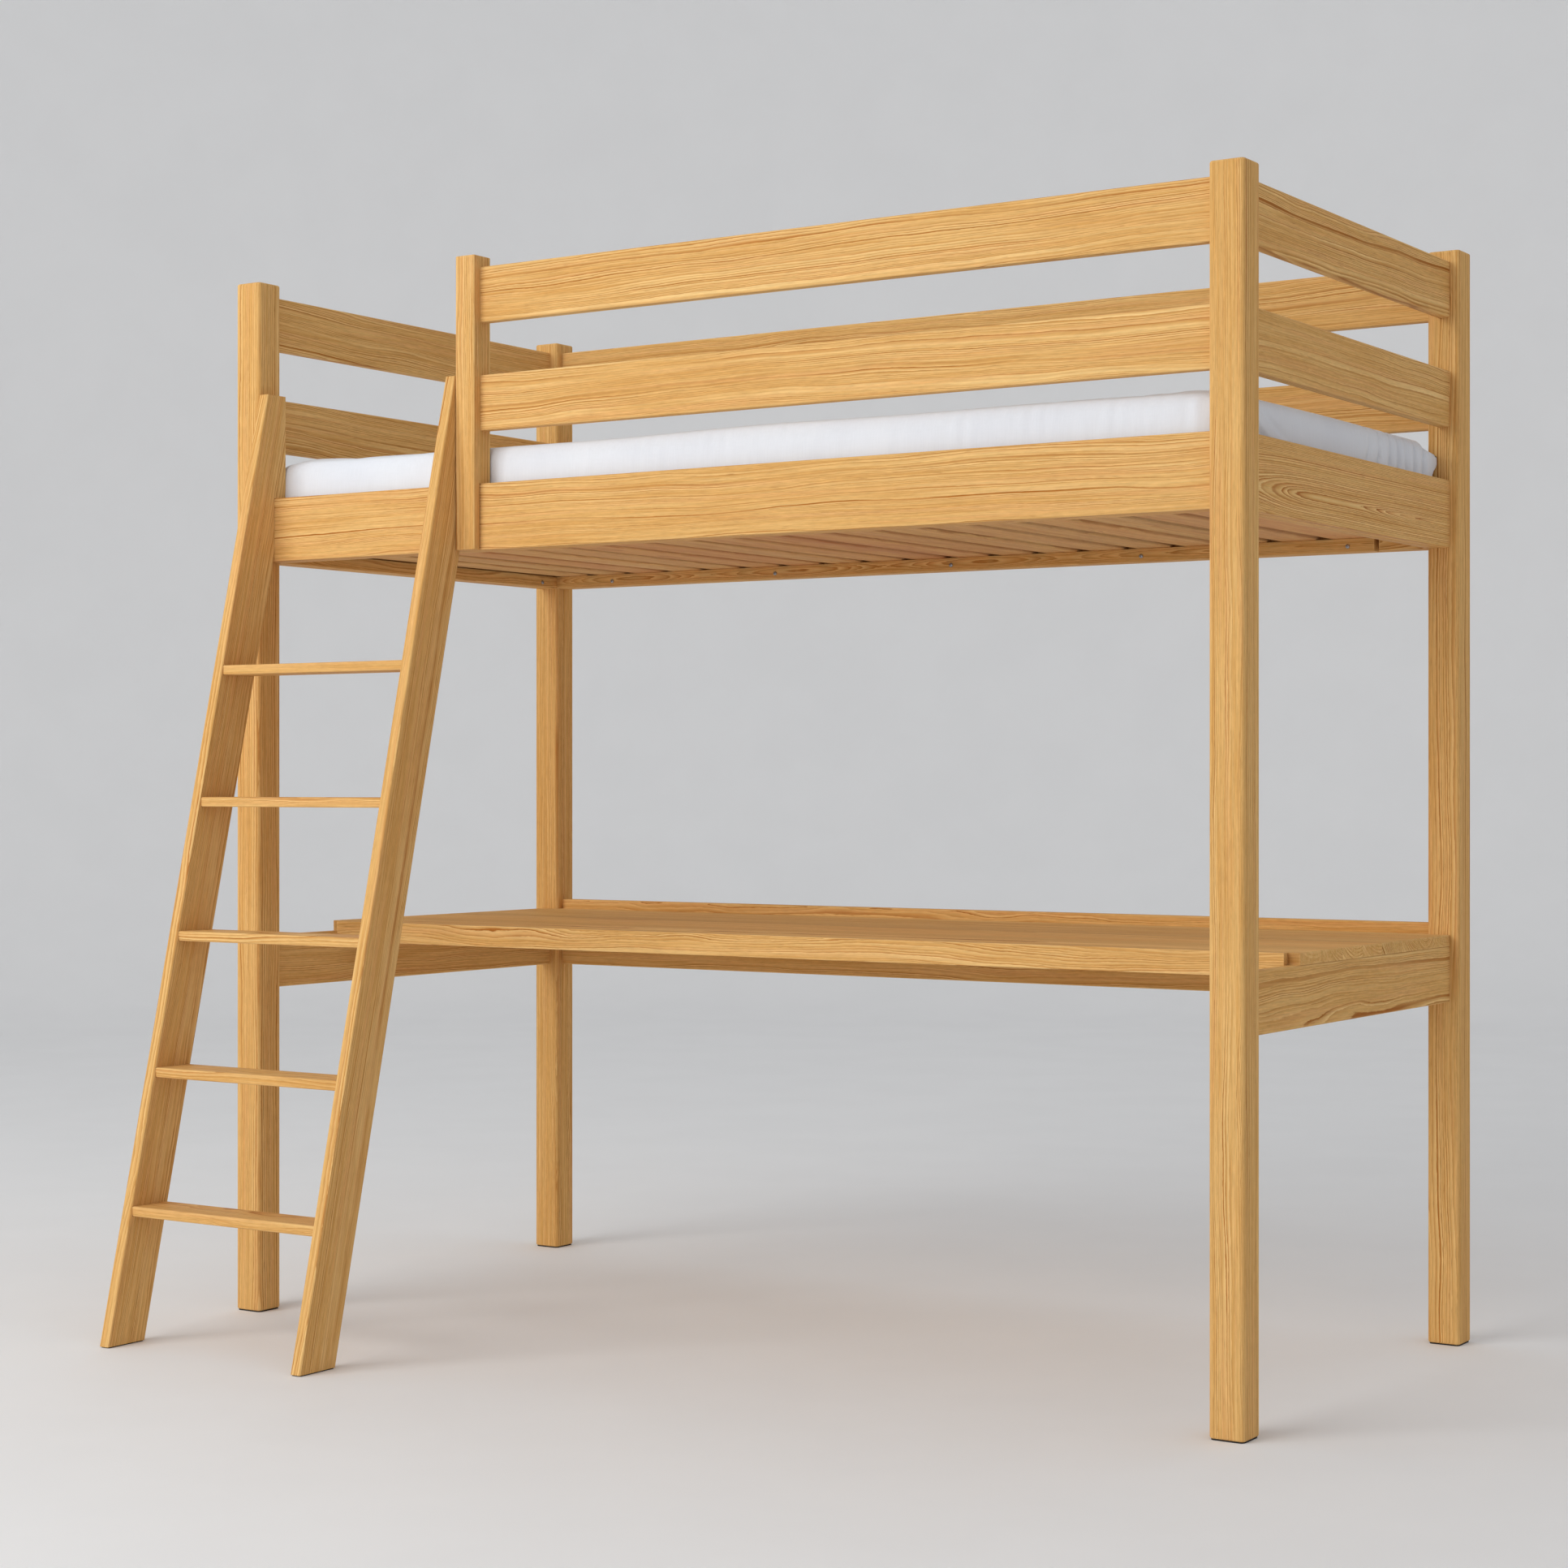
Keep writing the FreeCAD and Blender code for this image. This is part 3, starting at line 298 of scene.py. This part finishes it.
    # arrises a little paler along the edges, partly handling wear and partly a painted highlight where light catches
    # the rounded edges, and duller
    hx, hy, hz = half
    near = []
    for v, h0 in ((x0, hx), (y0, hy), (z0, hz)):
        if h0 and h0 < 1.9 and not (cells and h0 == hx and tint):
            near.append(T.map(T.math("ABSOLUTE", v), h0 - 0.0042, h0 - 0.0006, 0.0, 1.0))
    edge_wear_and_highlight = None
    for i in range(len(near)):
        for j in range(i + 1, len(near)):
            t = T.math("MULTIPLY", near[i], near[j])
            edge_wear_and_highlight = t if edge_wear_and_highlight is None else T.math("MAXIMUM", edge_wear_and_highlight, t)
    wear_and_highlight_noise = T.noise(T.vmath("MULTIPLY", P, (9.0, 60.0, 60.0)), 1.0, 3.0, 0.6)
    edge_wear_and_highlight = T.math("MULTIPLY", edge_wear_and_highlight, T.map(wear_and_highlight_noise, 0.35, 0.7, 0.05, 0.45))
    # painted highlight mixed with wear: the paler arris colour also stands in for light catching the rounded edges
    col = T.mix(edge_wear_and_highlight, col, lin(236, 198, 136))
    T.link(col, T.bsdf.inputs["Base Color"])
    ro = T.math("MULTIPLY_ADD", lateness, -0.08, T.math("MULTIPLY_ADD", T.math("SUBTRACT", fibre, 0.5), 0.18, rough))
    ro = T.math("MULTIPLY_ADD", edge_wear_and_highlight, 0.12, ro)
    T.link(ro, T.bsdf.inputs["Roughness"])
    T.bsdf.inputs["Specular IOR Level"].default_value = 0.015
    T.bsdf.inputs["Specular Tint"].default_value = (1.0, 0.80, 0.52, 1.0)
    height = T.math("MULTIPLY_ADD", lateness, 0.55, T.math("MULTIPLY", fibre, 0.45))
    bump = T.node("ShaderNodeBump")
    bump.inputs["Strength"].default_value = 0.30
    bump.inputs["Distance"].default_value = 0.00025
    T.link(height, bump.inputs["Height"])
    T.link(bump.outputs[0], T.bsdf.inputs["Normal"])
    return T.mat


def give(node, mat):
    o = NODES[node]
    o.data.materials.clear()
    o.data.materials.append(mat)
    for p in o.data.polygons:
        p.material_index = 0


# board axes: rows of the matrix are the board's own axes in the row frame
AX = Matrix(((1, 0, 0), (0, 1, 0), (0, 0, 1)))          # grain along X
AY = Matrix(((0, 1, 0), (-1, 0, 0), (0, 0, 1)))         # grain along Y
AZ = Matrix(((0, 0, 1), (0, 1, 0), (-1, 0, 0)))         # grain along Z


def centre_half(node, rot):
    lo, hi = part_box(node)
    c = (lo + hi) / 2
    h = (hi - lo) / 2
    hh = rot @ h
    return c, (abs(hh.x), abs(hh.y), abs(hh.z))


def wood_node(node, rot, seed, **kw):
    c, h = centre_half(node, rot)
    give(node, pine("pine_" + node, c, rot, h, seed, **kw))


wood_node("post_front_left", AZ, 11, pith=(0.105, 0.100), ring=0.0038, tilt=(0.004, 0.0), wave=0.5)
wood_node("post_front_right", AZ, 12, pith=(0.110, -0.125), ring=0.0040, tilt=(0.003, 0.002), wave=0.5)
wood_node("post_back_left", AZ, 13, pith=(0.100, 0.120), ring=0.0040, wave=0.5)
wood_node("post_back_right", AZ, 14, pith=(0.110, -0.100), ring=0.0038, wave=0.5)
wood_node("guard_post", AZ, 15, pith=(0.110, 0.120), ring=0.0038, wave=0.5)

wood_node("bed_rail_front", AX, 21, pith=(0.040, -0.160), ring=0.0046, tilt=(0.010, 0.004), wave=0.8)
wood_node("bed_rail_back", AX, 22, pith=(-0.060, 0.130), ring=0.0046, tilt=(0.0, 0.006), wave=0.8)
wood_node("bed_rail_left", AY, 23, pith=(0.060, 0.120), ring=0.0048, tilt=(0.01, 0.01), wave=0.8)
wood_node("bed_rail_right", AY, 24, pith=(0.0, -0.020), ring=0.0026, late=1.0, wave=0.10, steady=0.95, dark=lin(170, 94, 38),
          depth=[(-0.43, 0.0265), (-0.36, 0.0208), (-0.30, 0.0152), (-0.24, 0.0114), (-0.18, 0.0095), (-0.09, 0.0092),
                 (0.0, 0.0089), (0.06, 0.0081), (0.14, 0.0057), (0.22, 0.0035), (0.30, 0.0015), (0.43, 0.0002)])
wood_node("mid_rail_front", AX, 31, pith=(0.050, -0.150), ring=0.0052, tilt=(0.003, 0.006), wave=0.85)
wood_node("mid_rail_back", AX, 32, pith=(-0.070, -0.130), ring=0.0050, tilt=(0.0, 0.004), wave=0.9)
wood_node("mid_rail_left", AY, 33, pith=(-0.040, 0.130), ring=0.0050, tilt=(0.0, 0.015), wave=0.8)
wood_node("mid_rail_right", AY, 34, pith=(0.050, -0.140), ring=0.0044, tilt=(0.008, 0.01), wave=0.7)
wood_node("top_rail_front", AX, 41, pith=(0.050, 0.150), ring=0.0050, tilt=(0.004, -0.008), wave=0.85)
wood_node("top_rail_back", AX, 42, pith=(-0.060, 0.140), ring=0.0046, wave=0.8)
wood_node("top_rail_left", AY, 43, pith=(-0.050, -0.130), ring=0.0046, tilt=(0.0, 0.02), wave=0.8)
wood_node("top_rail_right", AY, 44, pith=(0.045, 0.140), ring=0.0044, tilt=(0.0, -0.012), wave=0.7)
wood_node("slat_ledger_front", AX, 51, pith=(0.04, 0.05), ring=0.0040)
wood_node("slat_ledger_back", AX, 52, pith=(0.0, 0.002), ring=0.0022, late=0.75, wave=0.16, steady=0.7,
          depth=[(-0.93, 0.020), (-0.70, 0.004), (-0.55, 0.022), (-0.30, 0.003), (-0.10, 0.022), (0.12, 0.003),
                 (0.28, 0.020), (0.42, 0.012), (0.60, 0.007), (0.78, 0.003), (0.93, 0.0005)])
wood_node("slat_ledger_back_end", AX, 53, pith=(0.0, 0.004), ring=0.0034, wave=0.3, depth=[(-0.044, 0.004), (0.044, 0.020)])
wood_node("slat_ledger_left", AY, 54, pith=(0.04, 0.04), ring=0.0040)
wood_node("slat_ledger_right", AY, 55, pith=(0.04, -0.04), ring=0.0040)

SLAT_PALE, SLAT_GOLD = lin(226, 186, 138), lin(212, 166, 116)
lo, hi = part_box("bed_slats")
c = (lo + hi) / 2
give("bed_slats", pine("pine_slats", c, AY, ((hi - lo).y / 2, 0.035, (hi - lo).z / 2), 61,
                       pith=(0.02, 0.07), ring=0.0050, late=0.5, pale=SLAT_PALE, gold=SLAT_GOLD,
                       dark=lin(178, 112, 62), cells=(1, -((hi - lo).x / 2) - 0.014, 0.098), tint=0.55, rough=0.62))

wood_node("desk_end_rail_left", AY, 71, pith=(-0.05, 0.120), ring=0.0048, wave=0.8)
wood_node("desk_end_rail_right", AY, 72, pith=(0.045, -0.060), ring=0.0048, tilt=(0.012, 0.014), wave=0.9)
wood_node("desk_back_rail", AX, 73, pith=(-0.07, 0.09), ring=0.0046)
wood_node("desk_front_strip", AX, 74, pith=(0.05, 0.05), ring=0.0040)
lo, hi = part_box("desk_top")
c = (lo + hi) / 2
give("desk_top", pine("pine_desk_top", c, AX, ((hi - lo).x / 2, (hi - lo).y / 2, (hi - lo).z / 2), 75,
                      pith=(0.03, 0.075), ring=0.0045, cells=(1, -(hi - lo).y / 2, 0.0865), wave=0.34, rough=0.66))

# the stiles' grain follows their lean
lean = math.atan(0.408 / 1.735)
AS = Matrix(((0, math.sin(lean), math.cos(lean)), (0, math.cos(lean), -math.sin(lean)), (-1, 0, 0)))
for side, seed in (("left", 81), ("right", 82)):
    node = "ladder_stile_" + side
    lo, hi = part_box(node)
    c = Vector(((lo.x + hi.x) / 2, (lo.y + hi.y) / 2 - 0.02, (lo.z + hi.z) / 2))
    give(node, pine("pine_" + node, c, AS, (2.0, 0.0438, 0.011), seed, pith=(0.125, 0.060), ring=0.0038,
                    tilt=(0.004, 0.004), wave=0.5))
for i in range(1, 6):
    wood_node("ladder_tread_%d" % i, AX, 90 + i, pith=(0.03 - 0.012 * i, -0.05 - 0.004 * i), ring=0.0042)

BEECH = dict(pale=lin(222, 186, 146), gold=lin(208, 168, 126), dark=lin(176, 128, 88), streak=lin(226, 192, 154), late=0.35, ring=0.0018)
for node, seed in (("rail_dowels", 101), ("desk_dowels", 102)):
    wood_node(node, AX, seed, **BEECH)


# ------------------------------------------------------------------ zinc and pads
def zinc(name):
    T = Tree(name)
    tc = T.node("ShaderNodeTexCoord")
    spangle = T.noise(tc.outputs["Object"], 900.0, 2.0, 0.5)
    scratch = T.noise(T.vmath("MULTIPLY", tc.outputs["Object"], (300.0, 2600.0, 2600.0)), 1.0, 2.0, 0.6)
    col = T.mix(T.map(spangle, 0.35, 0.65, 0.0, 1.0), lin(150, 156, 168), lin(186, 190, 198))
    T.link(col, T.bsdf.inputs["Base Color"])
    T.bsdf.inputs["Metallic"].default_value = 1.0
    T.link(T.math("ADD", 0.30, T.math("MULTIPLY", scratch, 0.2)), T.bsdf.inputs["Roughness"])
    bump = T.node("ShaderNodeBump")
    bump.inputs["Strength"].default_value = 0.2
    bump.inputs["Distance"].default_value = 0.00005
    T.link(scratch, bump.inputs["Height"])
    T.link(bump.outputs[0], T.bsdf.inputs["Normal"])
    return T.mat


def pad_glide_and_gap_shadow(name):
    T = Tree(name)
    tc = T.node("ShaderNodeTexCoord")
    g = T.noise(tc.outputs["Object"], 1200.0, 3.0, 0.6)
    dust = T.noise(tc.outputs["Object"], 90.0, 3.0, 0.6)
    # near-black pad colour: rubber glides, their darkness partly a painted shadow of the gap between the legs and the
    # floor
    col = T.mix(T.map(dust, 0.4, 0.8, 0.0, 0.5), lin(26, 24, 23), lin(58, 54, 50))
    T.link(col, T.bsdf.inputs["Base Color"])
    T.link(T.math("ADD", 0.72, T.math("MULTIPLY", g, 0.2)), T.bsdf.inputs["Roughness"])
    bump = T.node("ShaderNodeBump")
    bump.inputs["Strength"].default_value = 0.4
    bump.inputs["Distance"].default_value = 0.0001
    T.link(g, bump.inputs["Height"])
    T.link(bump.outputs[0], T.bsdf.inputs["Normal"])
    return T.mat


ZINC = zinc("zinc_plate")
for node in ("rail_studs", "barrel_nuts", "ledger_screws", "slat_screws", "guard_fixing_screws"):
    give(node, ZINC)
# the dark pad colour is partly painted shadow under the posts and the ladder
PADS = pad_glide_and_gap_shadow("pad_glide_and_gap_shadow")
for node in ("post_pads", "ladder_pads"):
    give(node, PADS)


# ------------------------------------------------------------------ mattress
def ticking(name):
    """White cotton sheet: fine plain weave, soft sheen, slight unevenness."""
    T = Tree(name)
    tc = T.node("ShaderNodeTexCoord")
    P = tc.outputs["Object"]
    x, y, z = T.xyz(P)
    k = 2 * math.pi / 0.0016
    wx = T.math("SINE", T.math("MULTIPLY", x, k))
    wy = T.math("SINE", T.math("MULTIPLY", T.math("ADD", y, z), k))
    weave = T.math("MULTIPLY", wx, wy)
    slub = T.noise(T.vmath("MULTIPLY", P, (40.0, 420.0, 420.0)), 1.0, 3.0, 0.6)
    slub2 = T.noise(T.vmath("MULTIPLY", P, (330.0, 330.0, 14.0)), 1.0, 3.0, 0.65)
    cloud = T.noise(P, 5.0, 3.0, 0.5)
    col = T.mix(T.map(cloud, 0.35, 0.7, 0.0, 1.0), lin(230, 234, 241), lin(225, 229, 237))
    f = T.math("ADD", T.math("MULTIPLY", weave, 0.018), T.math("MULTIPLY", T.math("SUBTRACT", T.math("MULTIPLY_ADD", slub, 0.5, slub2), 0.75), 0.085))
    f = T.math("ADD", 0.985, f)
    col = T.mix(1.0, col, T.join(f, f, f), "MULTIPLY")
    T.link(col, T.bsdf.inputs["Base Color"])
    T.link(T.math("ADD", 0.82, T.math("MULTIPLY", slub, 0.12)), T.bsdf.inputs["Roughness"])
    T.bsdf.inputs["Specular IOR Level"].default_value = 0.25
    T.bsdf.inputs["Sheen Weight"].default_value = 0.25
    T.bsdf.inputs["Sheen Roughness"].default_value = 0.4
    h = T.math("ADD", T.math("MULTIPLY", weave, 0.5), T.math("ADD", slub, slub2))
    bump = T.node("ShaderNodeBump")
    bump.inputs["Strength"].default_value = 0.25
    bump.inputs["Distance"].default_value = 0.0004
    T.link(h, bump.inputs["Height"])
    T.link(bump.outputs[0], T.bsdf.inputs["Normal"])
    return T.mat


TICKING = ticking("cotton_ticking")
give("mattress", TICKING)

lo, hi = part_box("mattress")
X0, X1, Y0, Y1, Z0, Z1 = lo.x, hi.x, lo.y, hi.y, lo.z, hi.z
MID = Vector(((X0 + X1) / 2, (Y0 + Y1) / 2, (Z0 + Z1) / 2))


def smooth(a, b, v):
    t = np.clip((v - a) / (b - a), 0.0, 1.0)
    return t * t * (3 - 2 * t)


def applied(o, name):
    """The object's mesh with its modifiers, as a new mesh."""
    dg = bpy.context.evaluated_depsgraph_get()
    me = bpy.data.meshes.new_from_object(o.evaluated_get(dg))
    me.name = name
    old = o.data
    o.modifiers.clear()
    o.data = me
    bpy.data.meshes.remove(old)
    return o


def coords(me):
    a = np.empty(len(me.vertices) * 3)
    me.vertices.foreach_get("co", a)
    return a.reshape(-1, 3)


def put_coords(me, a):
    me.vertices.foreach_set("co", a.reshape(-1))
    me.update()


def mattress_blank(inset=-0.002):
    """The foam block before its cover pulls it round: corners rounded in plan, edges softened."""
    bm = bmesh.new()
    bmesh.ops.create_cube(bm, size=1.0)
    sx, sy = (X1 - X0) - 2 * inset, (Y1 - Y0) - 2 * inset
    sz = (Z1 - Z0) + 0.002
    for v in bm.verts:
        v.co = Vector((MID.x + v.co.x * sx, MID.y + v.co.y * sy, Z0 + sz / 2 + v.co.z * sz))
    up = [e for e in bm.edges if abs(e.verts[0].co.z - e.verts[1].co.z) > 0.05]
    bmesh.ops.bevel(bm, geom=up, offset=0.055, segments=10, profile=0.5, affect="EDGES")
    bm.edges.ensure_lookup_table()
    top = [e for e in bm.edges if min(v.co.z for v in e.verts) > Z0 + sz - 1e-5 and len(e.link_faces) == 2
           and any(abs(f.normal.z) < 0.5 for f in e.link_faces)]
    bmesh.ops.bevel(bm, geom=top, offset=0.019, segments=5, profile=0.5, affect="EDGES")
    bm.edges.ensure_lookup_table()
    bot = [e for e in bm.edges if max(v.co.z for v in e.verts) < Z0 + 1e-5 and len(e.link_faces) == 2
           and any(abs(f.normal.z) < 0.5 for f in e.link_faces)]
    bmesh.ops.bevel(bm, geom=bot, offset=0.016, segments=4, profile=0.5, affect="EDGES")
    bmesh.ops.triangulate(bm, faces=[f for f in bm.faces if len(f.verts) > 4])
    me = bpy.data.meshes.new("mattress_sheet")
    bm.to_mesh(me)
    bm.free()
    o = bpy.data.objects.new("mattress_sheet", me)
    scene.collection.objects.link(o)
    return o


def blow(o, cap, frames=20):
    """The cover's own tension: an inflated cloth, held along the slats, with no point moving past cap."""
    start = coords(o.data).copy()
    held = o.vertex_groups.new(name="held")
    idx = [i for i, c in enumerate(start) if c[2] < Z0 + 0.012]
    held.add(idx, 1.0, "REPLACE")
    md = o.modifiers.new("cover", "CLOTH")
    st = md.settings
    st.quality = 5
    st.mass = 0.4
    st.tension_stiffness = 18
    st.compression_stiffness = 12
    st.shear_stiffness = 8
    st.bending_stiffness = 0.4
    st.use_pressure = True
    st.uniform_pressure_force = 4.0
    st.vertex_group_mass = "held"
    st.shrink_min = -0.012
    st.effector_weights.gravity = 0.0
    md.collision_settings.use_collision = False
    md.collision_settings.use_self_collision = False
    md.point_cache.frame_start = 1
    md.point_cache.frame_end = frames
    for f in range(1, frames + 1):
        scene.frame_set(f)
    dg = bpy.context.evaluated_depsgraph_get()
    me = o.evaluated_get(dg).to_mesh()
    end = coords(me).copy()
    o.evaluated_get(dg).to_mesh_clear()
    o.modifiers.clear()
    o.vertex_groups.clear()
    scene.frame_set(1)
    d = end - start
    nrm = np.empty(len(o.data.vertices) * 3)
    o.data.vertices.foreach_get("normal", nrm)
    nrm = nrm.reshape(-1, 3)
    out = np.sum(d * nrm, axis=1, keepdims=True)
    d = d - nrm * np.minimum(out, 0.0) * 0.92      # the foam behind it does not give way
    length = np.linalg.norm(d, axis=1, keepdims=True)
    d = d / np.maximum(length, 1e-9) * (cap * np.tanh(length / cap))
    return start, d


mattress = mattress_blank()
rm = mattress.modifiers.new("remesh", "REMESH")
rm.mode = "VOXEL"
rm.voxel_size = 0.0105
rm.use_smooth_shade = True
applied(mattress, "mattress_sheet")
start, push = blow(mattress, 0.0065)
put_coords(mattress.data, start + push)
sub = mattress.modifiers.new("sub", "SUBSURF")
sub.levels = sub.render_levels = 1
applied(mattress, "mattress_sheet")


def dress(me):
    """What the fitted sheet does after the foam has its shape."""
    c = coords(me)
    x, y, z = c[:, 0].copy(), c[:, 1].copy(), c[:, 2].copy()
    hx, hy = (X1 - X0) / 2, (Y1 - Y0) / 2
    rng = np.random.RandomState(7)
    up = smooth(Z0 + 0.015, Z0 + 0.06, z)
    crown = smooth(Z1 - 0.03, Z1 - 0.002, z)
    # the top lies a little lower along the ends, and is never quite level
    fall = 0.0045 * smooth(hx - 0.10, hx - 0.01, np.abs(x - MID.x)) + 0.002 * smooth(hy - 0.06, hy, np.abs(y - MID.y))
    wave = (0.0016 * np.sin(x * 5.1 + 0.6) * np.cos(y * 4.3 + 1.0) + 0.0010 * np.sin(x * 11.3 + y * 7.0 + 2.0))
    z = z + crown * (wave - fall)
    # the sides belly out a little between the slats and the top edge
    belly = np.sin(np.pi * np.clip((z - Z0) / (Z1 - Z0), 0, 1)) ** 0.7
    y = y - smooth(-hy + 0.05, -hy + 0.012, y - MID.y) * belly * 0.0045
    # the front face: fine pulled lines that run up and down in the cotton
    front = smooth(-hy + 0.05, -hy + 0.012, y - MID.y) * up
    lines = np.zeros_like(x)
    for k in range(26):
        f = rng.uniform(60, 260)
        lines += np.sin(f * x + rng.uniform(0, 6.28) + 3.0 * np.sin(z * rng.uniform(5, 22))) / 26
    y = y - front * lines * 0.0022
    # the right-hand end: gathered folds that deepen towards the rear corner and the lower edge
    rend = smooth(hx - 0.05, hx - 0.012, x - MID.x) * up
    yy = y - MID.y
    t = smooth(0.04, 0.24, yy)
    low = smooth(Z1 - 0.004, Z0 + 0.085, z)
    phase = yy / 0.043 + 0.55 * (Z1 - z) / 0.10 + 0.16 * np.sin(yy * 23.0) + 0.05 * np.sin(z * 90.0 + yy * 11)
    saw = phase % 1.0
    crease = np.exp(-(np.minimum(saw, 1 - saw) / 0.13) ** 2)
    billow = np.sin(np.pi * saw) ** 2
    force = 0.55 + 0.45 * np.sin(np.floor(phase) * 2.4 + 1.0)
    x = x + rend * t * (0.25 + 0.75 * low) * (billow * 0.0040 - crease * 0.0170 * force)
    # small creases that spread from the front corner of that end
    t2 = smooth(-0.19, -0.33, yy) * low
    ang = np.arctan2(z - (Z1 + 0.035), yy + hy + 0.05) / 0.17
    sw = ang % 1.0
    x = x - rend * t2 * 0.0085 * np.exp(-(np.minimum(sw, 1 - sw) / 0.14) ** 2)
    # the left-hand end is only lightly gathered, and the rear a little
    lend = smooth(-hx + 0.05, -hx + 0.012, x - MID.x) * up
    ph = (y - MID.y) * 2 * math.pi / 0.061 + 2.4 * (Z1 - z) / 0.10 + 1.1 * np.sin((y - MID.y) * 7.0)
    x = x + lend * low * 0.0028 * (0.5 + 0.5 * np.sin(ph)) * smooth(0.10, 0.40, np.abs(y - MID.y))
    rear = smooth(hy - 0.05, hy - 0.012, y - MID.y) * up
    ph = (x - MID.x) * 2 * math.pi / 0.085 + 1.8 * (Z1 - z) / 0.10 + 1.6 * np.sin((x - MID.x) * 3.1)
    y = y - rear * low * 0.0026 * (0.5 + 0.5 * np.sin(ph))
    # the cotton's rear right corner is drawn out to a point above the rail
    cx, cy = X1 - 0.016, Y1 - 0.018
    near = np.exp(-(((x - cx) / 0.038) ** 2 + ((y - cy) / 0.036) ** 2))
    slope = smooth(Y1 - 0.085, Y1 - 0.012, y) * smooth(X1 - 0.075, X1 - 0.010, x)
    z = z - crown * slope * 0.020
    dz = z - (Z1 - 0.031)
    tip = near * np.exp(-(dz / np.where(dz > 0, 0.0095, 0.024)) ** 2)
    x = x + tip * 0.024
    y = y + tip * 0.008
    # pressed in where the short post stands against it
    g0, g1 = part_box("guard_post")
    press = smooth(g0.x - 0.022, g0.x - 0.002, x) * smooth(g1.x + 0.022, g1.x + 0.002, x)
    limit = g1.y + 0.0016
    y = np.where((y < limit) & (press > 0), y + press * (limit - y), y)
    # and it keeps clear of the rails, the posts and the slats all the way up
    r0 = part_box("bed_rail_front")[1].y + 0.0025
    r1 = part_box("bed_rail_back")[0].y - 0.0015
    e0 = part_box("bed_rail_left")[1].x + 0.0015
    e1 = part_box("bed_rail_right")[0].x - 0.0012
    y = np.clip(y, r0, r1)
    x = np.clip(x, e0, e1)
    z = np.maximum(z, Z0)
    for post in ("post_front_left", "post_front_right", "post_back_left", "post_back_right"):
        p0, p1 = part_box(post)
        sx = 1 if p0.x > 0 else -1
        sy = 1 if p0.y > 0 else -1
        kx = (p0.x if sx > 0 else p1.x) - sx * 0.002
        ky = (p0.y if sy > 0 else p1.y) - sy * 0.002
        inx, iny = (x - kx) * sx, (y - ky) * sy
        bad = (inx > 0) & (iny > 0)
        small = bad & (inx < iny)
        x = np.where(small, kx, x)
        y = np.where(bad & ~small, ky, y)
    c = np.stack([x, y, z], 1)
    put_coords(me, c)


dress(mattress.data)
for p in mattress.data.polygons:
    p.use_smooth = True
mattress.data.materials.clear()
mattress.data.materials.append(TICKING)
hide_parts("mattress")
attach(mattress, "mattress")


# ------------------------------------------------------------------ stage
def dish():
    """A pale studio floor that curves up into a plain wall all round."""
    bm = bmesh.new()
    prof = [(0.0, 0.0), (3.5, 0.0), (7.2, 0.0)]
    for i in range(1, 13):
        a = math.radians(90.0 * i / 12)
        prof.append((7.2 + 2.2 * math.sin(a), 2.2 - 2.2 * math.cos(a)))
    prof.append((9.4, 6.5))
    seg = 96
    rings = []
    for r, h in prof:
        if r == 0.0:
            rings.append([bm.verts.new((0, 0, 0))])
        else:
            rings.append([bm.verts.new((r * math.cos(2 * math.pi * k / seg), r * math.sin(2 * math.pi * k / seg), h))
                          for k in range(seg)])
    for k in range(seg):
        bm.faces.new((rings[0][0], rings[1][k], rings[1][(k + 1) % seg]))
        for i in range(1, len(rings) - 1):
            bm.faces.new((rings[i][k], rings[i + 1][k], rings[i + 1][(k + 1) % seg], rings[i][(k + 1) % seg]))
    me = bpy.data.meshes.new("studio_floor")
    bm.to_mesh(me)
    bm.free()
    for p in me.polygons:
        p.use_smooth = True
    o = bpy.data.objects.new("studio_floor", me)
    scene.collection.objects.link(o)
    T = Tree("studio_pale")
    tc = T.node("ShaderNodeTexCoord")
    n = T.noise(tc.outputs["Object"], 3.0, 3.0, 0.5)
    T.link(T.mix(T.map(n, 0.3, 0.7, 0.0, 1.0), (0.86, 0.862, 0.87, 1), (0.875, 0.877, 0.885, 1)), T.bsdf.inputs["Base Color"])
    T.bsdf.inputs["Roughness"].default_value = 0.75
    me.materials.append(T.mat)
    return o


dish()

world = bpy.data.worlds.new("studio")
scene.world = world
world.use_nodes = True
wn = world.node_tree.nodes
wn.clear()
bg = wn.new("ShaderNodeBackground")
wo = wn.new("ShaderNodeOutputWorld")
bg.inputs["Color"].default_value = (0.965, 0.975, 0.985, 1)
bg.inputs["Strength"].default_value = 0.60
world.node_tree.links.new(bg.outputs[0], wo.inputs[0])


def softbox(name, where, aim, size, power, colour=(1, 1, 1)):
    ld = bpy.data.lights.new(name, "AREA")
    ld.shape = "RECTANGLE"
    ld.size, ld.size_y = size
    ld.energy = power
    ld.color = colour
    o = bpy.data.objects.new(name, ld)
    o.location = where
    o.rotation_mode = "QUATERNION"
    o.rotation_quaternion = (Vector(aim) - Vector(where)).to_track_quat("-Z", "Y")
    o.visible_camera = False
    scene.collection.objects.link(o)
    return o


softbox("key", (-2.2, -6.0, 3.4), (0.0, 0.2, 1.1), (5.0, 4.0), 254, (1.0, 0.985, 0.955))

# ------------------------------------------------------------------ camera
cam_data = bpy.data.cameras.new("view")
cam_data.sensor_fit = "HORIZONTAL"
cam_data.sensor_width = 36.0
cam_data.lens = 36.0 * 3605.09 / 1932.0
cam_data.clip_end = 100.0
cam = bpy.data.objects.new("view", cam_data)
cam.location = (3.92306 - 1.040, -4.09073 - 0.286, 1.00081)
cam.rotation_euler = (math.radians(90), 0, math.radians(33.192))
scene.collection.objects.link(cam)
scene.camera = cam
